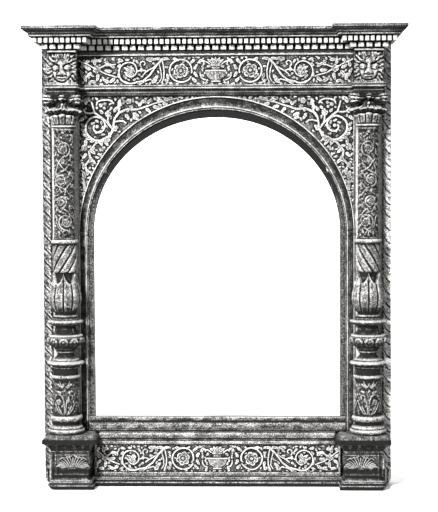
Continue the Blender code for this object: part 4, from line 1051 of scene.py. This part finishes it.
# Mouldings round the opening

def section(t):
    """Depth over the board of the archivolt and jamb at a share across, from the inside out."""
    places = (0, 0.02, 0.085, 0.10, 0.15, 0.165, 0.21, 0.25, 0.28, 0.40, 0.60, 0.84, 0.885, 0.905, 0.97, 1.0)
    depths = (1.6, 3.2, 3.2, 0.8, 0.8, 4.4, 5.4, 4.6, 3.2, 2.0, 1.2, 1.0, 0.8, 4.6, 4.8, 3.8)
    return np.interp(t, places, depths) * MM


def section_painted_light(t):
    """Painted light and shade across the same section: a dark inner edge, a pale bead, a dark shadow line, a
    pale roll, a cove painted darker towards the outside, a dark line and a pale outer edge.
    """
    places = (0, 0.02, 0.04, 0.085, 0.10, 0.15, 0.165, 0.25, 0.27, 0.36, 0.55, 0.80, 0.84, 0.90, 0.915, 1.0)
    tones = (-1.0, -0.8, 0.5, 0.4, -1.3, -1.3, 0.8, 0.8, 0.2, 0.0, -0.4, -0.5, -1.1, -1.1, 0.8, 0.8)
    return np.interp(t, places, tones)


def section_relief(t, run, seed):
    """The section along a run, a little uneven between its two edges."""
    return section(t) + 0.12 * MM * noise(run, t * 0.02, 6 * MM, seed) * (t > 0.02) * (t < 0.98)


def build_arch():
    """The archivolt, an elliptical half ring that narrows to its crown, and the jambs under it."""
    wide, rise, spring = arch_sizes()
    inner = low_high("jamb_right")[0][0]
    t = np.linspace(0, 1, 52)[None, :]
    turn = np.linspace(0, np.pi, 200)[:, None]
    half = inner + (wide - inner) * t
    crown = 20.0 * MM    # the archivolt's width at its top
    tall = rise - crown * (1 - t)
    x, z = half * np.cos(turn), spring + tall * np.sin(turn)
    relief = section_relief(t, turn * 0.2, 71)
    rear = low_high("archivolt")[0][1]
    section_solid("archivolt_moulded", "archivolt", x, z, relief, rear, turn * 0.2, MOULDED, t)
    for side, node, low, high in pairs("jamb"):
        z = np.linspace(low[2], high[2], 110)[:, None]
        relief = section_relief(t, z, 73)
        impost = ease((z - (high[2] - 3.2 * MM)) / (0.5 * MM))
        relief = relief + (6.2 * MM - relief) * impost * (t < 0.99) * (t > 0.01)
        section_solid(node + "_moulded", node, half * side, z, relief, low[1], z, UPRIGHT, t)


def section_solid(name, node, x, z, relief, rear, run, material, t):
    """A moulding with a flat back: the section across the columns, its run along the rows."""
    # The section's painted light and shade, with random tone over it.
    wear_and_painted_light = section_painted_light(t) + 0.3 * noise(run, t * 0.02, 5 * MM, 75) + 0.2 * noise(run, t * 0.05, 2 * MM, 76)
    depth = rear + np.maximum(relief, 0.3 * MM)
    outward(backed(name, node, x, depth, z, np.clip(wear_and_painted_light, -1, 1), rear, material))


def straight(name, node, profile, seed):
    """A straight run of moulding, whose profile's offsets are depths from the back."""
    low, high = low_high(node)
    half, rear = high[0], low[1]
    corners = [(-half, rear, 0, 0), (-half, 0.0, 0, 1), (half, 0.0, 0, 1), (half, rear, 0, 0)]
    moulding(name, node, corners, profile, SILL, seed)


def build_sill():
    """The sill under the opening, and the cornice of the predella under it."""
    low, high = low_high("sill_moulding")
    z0, z1, out = low[2], high[2], high[1]
    # The sill's tones are painted shade at its foot, in its grooves and the hollow, and painted light on its
    # fillets and top.
    profile = levels_at(z0, out, (
        (0, -1.2, -1.2), (1.2, -0.8, -0.6), (2.7, -0.4, -0.3), (3.0, 0, 0.1), (4.2, 0, 0.0),
        (4.5, -0.6, -1.0), (5.6, -0.6, -0.8), (5.9, 0, 0.35), (8.4, -0.6, 0.2)))
    profile += hollow(z0 + 8.4 * MM, out - 0.6 * MM, z0 + 12.9 * MM, out - 3.6 * MM, -0.4 * MM, -0.2)
    profile += levels_at(z0, out, (
        (13.3, -3.8, -0.5), (14.8, -4.6, -1.3), (16.1, -4.6, -1.3), (16.5, -4.0, 0.25)))
    profile += levels_at(z1, out, ((-1.6, -4.0, 0.3), (-1.0, -4.4, 0.2), (0, -5.2, 0.2)))
    straight("sill_moulded", "sill_moulding", profile, 8)
    low, high = low_high("predella_cornice")
    z0, z1, out = low[2], high[2], high[1]
    # The predella cornice's tones are painted shade at its foot and in its grooves, and painted light on its
    # upper band, which lies in the sill's shadow.
    profile = levels_at(z0, out, (
        (0, -6.0, -1.2), (0.6, -5.0, -1.0), (1.0, -2.4, 0.4), (3.0, -2.2, 0.1), (5.7, -2.0, -0.1),
        (6.1, -1.6, -0.1), (7.1, -1.6, -0.1), (7.4, -2.6, -0.9), (10.0, -2.6, -1.3), (10.3, -0.4, 0.0),
        (11.6, 0, 0.0), (12.0, -0.6, -0.8), (14.6, -0.9, -0.8), (15.0, -0.6, 0.5), (18.6, -0.9, 0.7)))
    profile += levels_at(z1, out, ((-0.5, -1.4, -0.1), (0, -5.0, -0.3)))
    straight("predella_cornice_moulded", "predella_cornice", profile, 9)


# Columns and capitals

# Members of a column from its foot up: kind, share of the height, then pairs of a place up the
# member and its radius in millimetres
COLUMN_MEMBERS = (
    ("round", 0.0275, ((0, 24.4), (0.12, 26.6), (0.40, 27.6), (0.56, 26.6), (0.62, 24.2), (0.68, 24.8),
                       (0.88, 24.0), (1, 21.4))),
    ("neck", 0.0120, ((0, 21.6), (0.4, 18.8), (1, 20.2))),
    ("round", 0.0210, ((0, 21.5), (0.2, 23.6), (0.55, 24.4), (0.85, 23.4), (1, 20.4))),
    ("lyre", 0.1200, ((0, 18.6), (0.5, 19.0), (1, 18.4))),
    ("round", 0.0130, ((0, 19.6), (0.25, 21.6), (0.75, 21.8), (1, 19.8))),
    ("neck", 0.0213, ((0, 19.0), (0.35, 17.8), (1, 18.6))),
    ("stack", 0.0459, ((0, 18.8), (0.04, 20.6), (0.14, 21.0), (0.18, 18.6), (0.22, 24.0), (0.34, 27.6),
                       (0.44, 27.4), (0.54, 24.4), (0.57, 20.6), (0.62, 21.0), (0.70, 18.6), (0.80, 15.0),
                       (0.92, 12.8), (1, 12.6))),
    ("round", 0.0163, ((0, 12.6), (0.30, 12.6), (0.42, 14.6), (0.60, 15.2), (0.72, 13.4), (1, 14.8))),
    ("bowl", 0.0495, ((0, 16.0), (0.12, 17.6), (0.34, 24.4), (0.58, 27.4), (0.78, 27.2), (0.86, 24.2),
                      (0.90, 25.6), (0.97, 25.4), (1, 22.0))),
    ("palmette", 0.0295, ((0, 20.6), (0.15, 17.6), (0.4, 15.4), (0.75, 14.8), (1, 16.4))),
    ("stack", 0.0385, ((0, 19.2), (0.10, 22.6), (0.20, 25.6), (0.32, 27.0), (0.43, 26.2), (0.50, 21.4),
                       (0.54, 19.6), (0.62, 19.8), (0.68, 17.4), (0.74, 17.6), (0.88, 18.0), (0.93, 15.6),
                       (1, 14.8))),
    ("tulip", 0.1360, ((0, 14.4), (0.065, 17.4), (0.18, 21.4), (0.34, 23.4), (0.49, 22.7), (0.65, 20.2),
                       (0.80, 18.4), (0.91, 19.6), (1, 22.2))),
    ("spiral", 0.0930, ((0, 17.6), (0.5, 17.9), (1, 17.6))),
    ("round", 0.0143, ((0, 18.4), (0.2, 20.4), (0.75, 20.6), (1, 18.4))),
    ("vine", 0.3622, ((0, 16.2), (0.02, 15.4), (0.5, 15.5), (1, 15.0))),
)


def soft_line(t, knots, softness=9):
    """Values between the knots of a line whose corners are slightly rounded."""
    fine = np.linspace(0, 1, 201)
    places, values = zip(*knots)
    line = np.interp(fine, places, values)
    padded = np.pad(line, softness // 2, mode="edge")
    return np.interp(t, fine, np.convolve(padded, np.ones(softness) / softness, mode="valid"))


def lobe_share(angle, count):
    """0 at the middle of a lobe, 1 where it meets the next; the first lobe faces the front."""
    return np.abs(((angle * count / (2 * np.pi) + 0.5) % 1.0) - 0.5) * 2


def member_carving(kind, t, angle, side, rise):
    """Carved height on a member, in millimetres, for shares of height and angles round it."""
    if kind == "spiral":
        q = lobe_share(angle + side * np.pi / 2 * t, 8)
        return 1.0 * np.sqrt(1 - 0.9 * q ** 2) - 2.8 * bell((1 - q) / 0.20) - 0.3
    if kind == "tulip":
        return tulip(t, angle)
    if kind == "bowl":
        across = ((angle * 10 / (2 * np.pi) + 0.5) % 1.0 - 0.5) * 17.0
        far = np.hypot(across, (t - 0.50) * 22.7) / 6.8
        disc = 1.1 * bell((far - 0.80) / 0.16) + 0.9 * bell(far / 0.30)
        return (disc - 1.5 * ease((far - 1.0) / 0.12)) * ease((t - 0.08) / 0.1) * ease((0.81 - t) / 0.04)
    if kind == "palmette":
        q = lobe_share(angle, 6)
        return 1.2 * ease((0.55 - q) / 0.2) * ease((0.85 - t) / 0.1) * ease((t - 0.1) / 0.1)
    if kind == "stack":
        return 0.25 * np.sin(26 * angle) * bell((t - 0.18) / 0.12)
    if kind == "vine":
        carved = shaft_vine(-side * angle * 15.5 * MM, rise) - 0.6
        return np.where((t < 0.015) | (t > 0.985), 0.8, carved)
    if kind == "lyre":
        carved = shaft_lyre(-side * angle * 18.8 * MM, rise) - 0.5
        return np.where((t < 0.04) | (t > 0.96), 0.7, carved)
    return 0 * t * angle


def tulip(t, angle):
    """A ten-lobed bulb that ends in six petals with rolled rims, over a deep gap."""
    q = lobe_share(angle + np.pi / 10, 10)
    bulb = 1.0 * np.sqrt(1 - 0.9 * q ** 2) - 2.6 * bell((1 - q) / 0.20) * ease(t / 0.08)
    petal = lobe_share(angle, 6)
    head = 0.74 + 0.25 * (1 - petal) ** 2.0
    below = ease((head - t) / 0.012)
    rim = 1.2 * bell((head - t) / 0.022) * ease((t - 0.6) / 0.1)
    split = 1.2 * bell(petal / 0.06) * ease((t - 0.45) / 0.3)
    gap = 3.2 + 20.0 * np.clip(t - 0.78, 0, 1)
    return (bulb * ease((0.84 - t) / 0.1) + rim - split) * below - (1 - below) * gap


def shaft_vine(x, z):
    """A vine of four scrolls on the upper shaft, for places across and up from its foot."""
    work = Carving(x, z)

    def at(across, up):
        """A place across and up."""
        return np.array([across, up], float)

    thin = 0.95
    scrolls = ((4.3, 26.7, 12.2, -1), (-3.3, 56.5, 9.2, 1), (-3.7, 88.0, 9.8, -1), (0.7, 134.5, 11.8, 1))
    for k, (cx, cz, radius, way) in enumerate(scrolls):
        eye = at(cx, cz)
        work.stem(spiral(eye, radius, 0.30 * radius, -90, -90 + way * 560, 50), thin * 1.25, 1.5, 0.2)
        work.flower(eye, 0.42 * radius, 1.4, 5, k)
        angles = [angle + 30 * k for angle in (40, 110, 200, 300)]
        work.leaf_ring(eye, 0.62 * radius, angles, 100, 5.5, 1.6, 1.2, 50)
    for x0, z0, x1, z1, x2, z2 in (
        (4.3, 14.5, -6.0, 8.0, -9.0, 2.0), (-3.3, 47.3, 7.0, 42.0, 11.0, 36.0), (-12.0, 52, -6, 42, 4, 39),
        (-3.7, 78.2, 6.0, 72.0, 12.0, 64.0), (12.0, 84.0, 4.0, 74.0, -10.0, 66.0),
        (0.7, 122.7, -8.0, 112.0, -12.0, 100.0), (10.0, 112.0, 4.0, 104.0, -8.0, 98.0),
        (-10.0, 118.0, 0.0, 106.0, 11.0, 99.0), (-12.0, 34.0, -9.0, 20.0, 0.0, 10.0),
    ):
        work.stem([(x0, z0), ((x0 + x1) / 2, (z0 + z1) / 2 + 1), (x1, z1), (x2, z2)], thin, 1.2)
    work.leaves(at, (
        (0, 156, 70, 8, 40), (0, 156, 110, 8, -40), (0, 112, 60, 9, 50), (0, 112, 120, 9, -50),
        (0, 112, 90, 9, 0), (2, 70, 50, 8, 60), (-2, 70, 140, 8, -60),
        (8, 96, 30, 8, 60), (-9, 96, 150, 8, -60),
        (9, 45, 60, 8, 50), (-10, 42, 110, 8, -50), (8, 8, 60, 9, 40), (-6, 6, 110, 9, -40), (0, 2, 90, 8, 0),
        (12, 120, 80, 8, 30), (-12, 124, 100, 8, -30), (13, 76, 90, 8, 0), (-13, 78, 90, 8, 0),
    ), 1.8, 1.2)
    for way in (1, -1):
        for k in range(11):
            work.leaf((way * 20, 15 * k), 90 + way * 30, 11, 2.2, 1.1, way * 50)
            work.leaf((way * 30, 15 * k + 6), 90 - way * 30, 13, 2.4, 1.1, 0, 3.0)
    work.fill(520, 80, 5.5, 1.3, 1.1)
    return work.height


def shaft_lyre(x, z):
    """Pointed leaves, curled stalks and a flower, on the front and both sides of the lower shaft."""
    work = Carving(x, z)
    for middle in (0.0, 38.0, -38.0):
        def stem(places, share=1.0):
            """A stalk through places that are measured across from this front's middle."""
            work.stem([(middle + across, up) for across, up in places], 0.95, 1.7 * share)

        for way in (1, -1):
            stem([(way * 3, 1), (way * 9, 6), (way * 13, 12), (way * 16, 19)])
            stem([(way * 3, 1), (way * 6, 7), (way * 9, 12), (way * 10, 15)], 0.9)
            stem([(way * 2, 44), (way * 6, 47), (way * 8, 52)], 0.8)
            work.leaf((middle + way * 3, 41), 90 - way * 35, 12, 2.3, 1.6, -way * 40)
        stem([(-1, 1), (0, 8), (-1, 22), (-4, 30), (-9, 33), (-14, 31), (-16, 25)])
        stem([(1, 1), (2, 14), (4, 26), (8, 32), (12, 30), (11, 25)])
        work.flower((middle - 9, 21), 4.6, 1.9, 4, 0.4)
        work.leaf((middle + 4, 20), 60, 9, 2.2, 1.6, 40)
        work.leaf((middle + 5, 34), 40, 10, 2.0, 1.4, -50)
        work.leaf((middle - 5, 34), 140, 9, 2.0, 1.4, 50)
    work.fill(120, 81, 5.5, 1.4, 0.8)
    return work.height


def build_columns():
    """Each column: the members' profiles one above the other, with their carving."""
    low, high = low_high("column_right")
    axis = (low[0] + high[0]) / 2
    total = sum(member[1] for member in COLUMN_MEMBERS)
    columns = 146
    spot = np.arange(columns) / columns * 2 - 1
    angle = (np.pi * (spot - 0.5 * np.sin(np.pi * spot) / np.pi))[None, :]    # closer together in front
    for side, node, _, _ in pairs("column"):
        z_rows, radius_rows = [], []
        base = 0.0
        for kind, share, knots in COLUMN_MEMBERS:
            span = (high[2] - low[2]) * share / total
            step = 0.70 * MM if kind in ("stack", "bowl", "round") else 1.06 * MM
            count = max(6, int(span / step))
            t = (np.linspace(0, 1, count) * 0.998 + 0.001)[:, None]
            radius = soft_line(t, knots) + member_carving(kind, t, angle, side, span * t)
            z_rows.append(base + span * t)
            radius_rows.append(np.broadcast_to(radius, (count, columns)))
            base += span
        z = low[2] + np.concatenate(z_rows)
        radius = np.concatenate(radius_rows) * MM + 0.15 * MM * noise(angle * 0.05, z, 3 * MM, 83 + side)
        radius = np.minimum(radius, (high[0] - low[0]) / 2)
        turned(node, axis * side, radius, angle, z, low[1], SHAFT)


def turned(node, axis, radius, angle, z, trim, material):
    """A turned solid: rings of the given radius round an upright axis, flat where they pass the trim.

    Parts that face upward get a painted highlight and parts that face downward get painted shade.
    """
    x = axis + radius * np.sin(angle)
    depth = np.maximum(AXIS_DEPTH + radius * np.cos(angle), trim)
    slope = np.gradient(blur(radius, 1, True), axis=0) / np.gradient(z, axis=0)
    # Painted light: slopes that face upward are painted paler and slopes that face downward darker.
    painted_top_light_under_shade = np.where(slope < 0, np.clip(-0.45 * slope, 0, 0.6), -np.clip(1.3 * slope, 0, 1.0))
    fine, broad = above(radius, 2, 0.30 * MM, True), above(radius, 5, 0.9 * MM, True)
    wear_and_painted_light = painted_top_light_under_shade + 0.5 * fine + 0.4 * np.minimum(broad, 0.3) + 0.25 * noise(x, z, 3 * MM, 85)
    rings(node + "_carving", placed(x, depth, z), np.clip(wear_and_painted_light, -1, 1), material, node)


def build_capitals():
    """Leafy capitals, which widen from the round shaft to a square top."""
    rows, columns = 110, 168
    angle = (np.arange(columns) / columns * 2 - 1)[None, :] * np.pi
    t = np.linspace(0, 1, rows)[:, None]
    for side, node, low, high in pairs("capital"):
        axis = side * (abs(low[0]) + abs(high[0])) / 2
        z = low[2] + (high[2] - low[2]) * t
        radius = capital_radius(t, angle, side) * MM + 0.2 * MM * noise(angle * 0.05, z, 2.5 * MM, 91 + side)
        radius = np.minimum(radius, (high[0] - low[0]) / 2 / np.maximum(np.abs(np.sin(angle)), 0.5))
        turned(node, axis, radius, angle, z, low[1], CARVED)


def capital_radius(t, angle, side):
    """Radius in millimetres of the capital: ring, fluted bell, leaf tips, hollow, lobed abacus."""
    ring = 15.4 + 3.0 * np.sqrt(np.clip(1 - ((t - 0.045) / 0.045) ** 2, 0, 1))
    q = lobe_share(angle, 12)
    flute = 1.6 * np.sqrt(1 - 0.95 * q ** 2) - 2.6 * bell((1 - q) / 0.16)
    basket = 16.2 + 3.4 * ease((t - 0.09) / 0.34) + flute * ease((t - 0.10) / 0.03) * ease((0.42 - t) / 0.04)
    ragged = 0.02 * np.sin(23 * angle) + 0.02 * np.sin(37 * angle + side)
    droop = 0.07 * np.sin(angle) ** 2 + 0.05 * lobe_share(angle, 8) ** 2
    curl = bell((t - 0.58 + droop + ragged) / 0.050)
    under = 3.5 * bell((t - 0.455 + droop) / 0.025)
    body = basket * ease((0.62 - t) / 0.1) + 16.5 * ease((t - 0.52) / 0.1) + 8.4 * curl - under
    body = body + 2.6 * bell(np.sin(angle) / 0.10) * bell((t - 0.70) / 0.04)
    corner = np.abs(np.sin(2 * angle)) ** 5
    middle = bell(np.sin(angle) / 0.17) + bell(np.cos(angle) / 0.17)
    square = 23.0 + 14.5 * corner + 2.6 * middle
    square = square - 2.4 * bell((t - 0.905 - 0.02 * np.cos(8 * angle)) / 0.016)
    square = square + 0.7 * np.sin(30 * angle) * ease((0.95 - t) / 0.05)
    start = 0.85 - 0.16 * corner - 0.05 * middle + ragged
    leafy = body + (square - body) * ease((t - start) / 0.03)
    leafy = leafy - 3.0 * corner * bell((t - 0.80) / 0.03)
    return np.where(t < 0.09, ring, leafy)


# Boards

def build_boards():
    """The four back boards with a smooth arch: each is lofted from its rebated back to its front.

    Every outline is a list of (x, z) places. The sight edge is an ellipse over uprights, and two
    more outlines just outside it carry the line where the lip's painted shadow meets the pale painted field.
    """
    stile_high, jamb_low, jamb_high = low_high("stile_right")[1], *low_high("jamb_right")
    rail_low, rail_high = low_high("rail_top")
    sill_high = low_high("rail_bottom")[1]
    _, rise, spring = arch_sizes()
    rise = rise - 31.5 * MM    # the boards' arch lies this far inside the archivolt's outer edge
    sight, joint, lip, fine = sill_high[0] + GAP, rail_low[2], 8.0 * MM, 0.01 * MM
    reach, under, over = sight + lip, sill_high[2] - lip, spring + rise + lip
    side_lip, crown_lip = jamb_low[0] - sight, 11.5 * MM
    widenings = ((0.0, 0.0), (side_lip, crown_lip), (side_lip + 0.4 * MM, crown_lip + 0.4 * MM))
    joint_turn = math.asin((joint - spring) / rise)
    thick, body = stile_high[1], stile_high[0]

    def arc(first, last, steps, more=0.0, more_up=0.0):
        """Places on the sight ellipse between two angles, widened and raised by a little."""
        turn = np.linspace(first, last, steps + 1)
        return [((sight + more) * math.cos(a), spring + (rise + more_up) * math.sin(a)) for a in turn]

    foot = [(body - CORNER + CORNER * math.sin(a), CORNER - CORNER * math.cos(a))
            for a in np.linspace(0, math.pi / 2, 9)]
    shell = foot + [(body, stile_high[2]), (jamb_high[0], stile_high[2]), (jamb_high[0], joint - GAP)]
    outlines = []
    for more, more_up in widenings:
        inner = arc(joint_turn, 0, 26, more, more_up)
        inner[0] = (inner[0][0], joint - GAP)
        foot_edge = [(sight + more, z) for z in (under + fine, under, 0.0)]
        outlines.append(shell + inner + foot_edge)
    back = shell + [(reach, joint - GAP)] + [(reach, z) for _, z in arc(joint_turn, 0, 26)[1:]]
    back += [(reach, under + fine), (sight, under), (sight, 0.0)]
    for side, node, _, _ in pairs("stile"):
        loft_board(node, [[(side * x, z) for x, z in line] for line in [back] + outlines], thick)
    right, seat = [(rail_high[0], rail_high[2]), (rail_high[0], joint)], joint - 0.25 * MM
    left = [(-x, z) for x, z in right[::-1]]
    outlines = []
    for more, more_up in widenings:
        line = arc(joint_turn, math.pi - joint_turn, 96, more, more_up)
        line[0], line[-1] = (line[0][0], seat), (line[-1][0], seat)
        outlines.append(right + line + left)
    inner = []
    for x, z in arc(joint_turn, math.pi - joint_turn, 96):
        stretch = min(reach / max(abs(x), 1e-6), (over - spring) / (z - spring))
        inner.append((x * stretch, spring + (z - spring) * stretch))
    inner[0], inner[-1] = (reach, seat), (-reach, seat)
    for way in (1, -1):
        near = min(range(97), key=lambda k: abs(inner[k][0] - way * reach) + abs(inner[k][1] - over))
        inner[near] = (way * reach, over)
    loft_board("rail_top", [right + inner + left] + outlines, thick)
    half = sill_high[0]
    lines = [[(-half, 0.0), (half, 0.0), (half, z), (-half, z)]
             for z in (under, sill_high[2], sill_high[2] - 8 * MM, sill_high[2] - 8.4 * MM)]
    loft_board("rail_bottom", lines, thick)


def loft_board(node, lines, thick):
    """A board from four outlines: the rebated back, the sight edge, and the two sides of the line between the
    lip's painted shadow and the pale painted field.
    """
    back, edge, lip, flat = lines
    rebate = 12.0 * MM
    # The sight edge and the lip are painted dark as the shadow in the reveal, and the flat field is painted
    # pale, a painted light that lifts the columns' shadow from it.
    layers = ((back, 0.0, -0.3), (back, rebate, -0.3), (edge, rebate, -1.0), (edge, thick - 0.3 * MM, -0.6),
              (edge, thick, -0.5), (lip, thick, -1.0), (flat, thick, 1.0))
    points = np.array([[(x, BACK - depth, z) for x, z in line] for line, depth, _ in layers])
    # The painted shadow on the lip is full high up at the crown and weaker lower down.
    shade = 0.35 + 0.65 * ease((points[0, :, 2] - 0.40) / 0.10)
    wear_and_painted_light = np.array([tone * (shade if tone < 0 else 1 + 0 * shade) for _, _, tone in layers])
    rows, columns = points.shape[:2]
    faces = grid_faces(rows, columns, True) + lids(rows, columns)
    outward(put(node + "_board", points, faces, wear_and_painted_light, BOARDS, (node,), smooth=False))


# Studio

def build_studio():
    """A pale floor that curves up to a wall far behind the frame, a pale sky and four lamps."""
    half_width, curve_start, curve = 6.0, 3.4, 0.8
    profile = [(-6.0, 0.0), (curve_start, 0.0)]
    for k in range(1, 13):
        turn = math.pi / 2 * k / 12
        profile.append((curve_start + curve * math.sin(turn), curve - curve * math.cos(turn)))
    profile.append((curve_start + curve, 5.0))
    points = [(x, y, z) for y, z in profile for x in (-half_width, half_width)]
    faces = [(2 * k, 2 * k + 1, 2 * k + 3, 2 * k + 2) for k in range(len(profile) - 1)]
    mesh = bpy.data.meshes.new("floor")
    mesh.from_pydata(points, [], faces)
    mesh.polygons.foreach_set("use_smooth", [True] * len(faces))
    floor = bpy.data.objects.new("floor", mesh)
    bpy.context.scene.collection.objects.link(floor)
    paint = Paint("pale_floor", "")
    paint.feed(paint.shader.inputs["Base Color"], (0.94, 0.94, 0.93, 1.0))
    paint.feed(paint.shader.inputs["Roughness"], 0.9)
    mesh.materials.append(paint.material)
    world = bpy.data.worlds.new("studio")
    bpy.context.scene.world = world
    world.use_nodes = True
    sky = world.node_tree.nodes["Background"]
    sky.inputs["Color"].default_value = (1.0, 1.0, 1.0, 1.0)
    sky.inputs["Strength"].default_value = 0.10
    lamp("key", (-1.12, -2.58, 1.68), (0.0, 0.0, 0.32), 17.0, 0.30, 44)
    lamp("fill", (1.2, -3.0, 1.2), (0.0, 0.0, 0.3), 5.0, 1.2)
    lamp("wash", (0.0, 0.5, 2.6), (0.0, 1.9, 0.4), 90.0, 2.0)
    lamp("wall_wash", (0.0, 2.7, 2.6), (0.0, 4.1, 0.4), 110.0, 2.0, 110)


def lamp(name, place, aim, power, size, spread=180):
    """A square lamp: where it stands, what it points at, watts, metres across and degrees of spread."""
    light = bpy.data.lights.new(name, "AREA")
    light.energy, light.size, light.spread = power, size, math.radians(spread)
    piece = bpy.data.objects.new(name, light)
    piece.location = place
    piece.rotation_euler = (Vector(aim) - Vector(place)).to_track_quat("-Z", "Y").to_euler()
    bpy.context.scene.collection.objects.link(piece)


def build_camera():
    """A long lens a little above the middle and right of it, as in the photograph."""
    place, aim = Vector((0.0867, -2.376, 0.470)), Vector((0.0037, 0.024, 0.3460))
    away = (place - aim).normalized()
    right = Vector((0, 0, 1)).cross(away).normalized()
    right = Matrix.Rotation(math.radians(-0.25), 3, away) @ right
    up = away.cross(right)
    camera = bpy.data.cameras.new("camera")
    camera.lens, camera.sensor_width = 112.7, 36.0
    piece = bpy.data.objects.new("camera", camera)
    piece.matrix_world = Matrix.Translation(place) @ Matrix((right, up, away)).transposed().to_4x4()
    bpy.context.scene.collection.objects.link(piece)
    bpy.context.scene.camera = piece


def main():
    """The camera, all pieces from the top of the frame down, the boards and the studio."""
    build_camera()
    build_entablature()
    build_panels()
    build_spandrels()
    build_strips()
    build_masks()
    build_base()
    build_arch()
    build_sill()
    build_columns()
    build_capitals()
    build_boards()
    build_studio()
    bpy.context.scene.view_settings.view_transform = "Standard"


main()
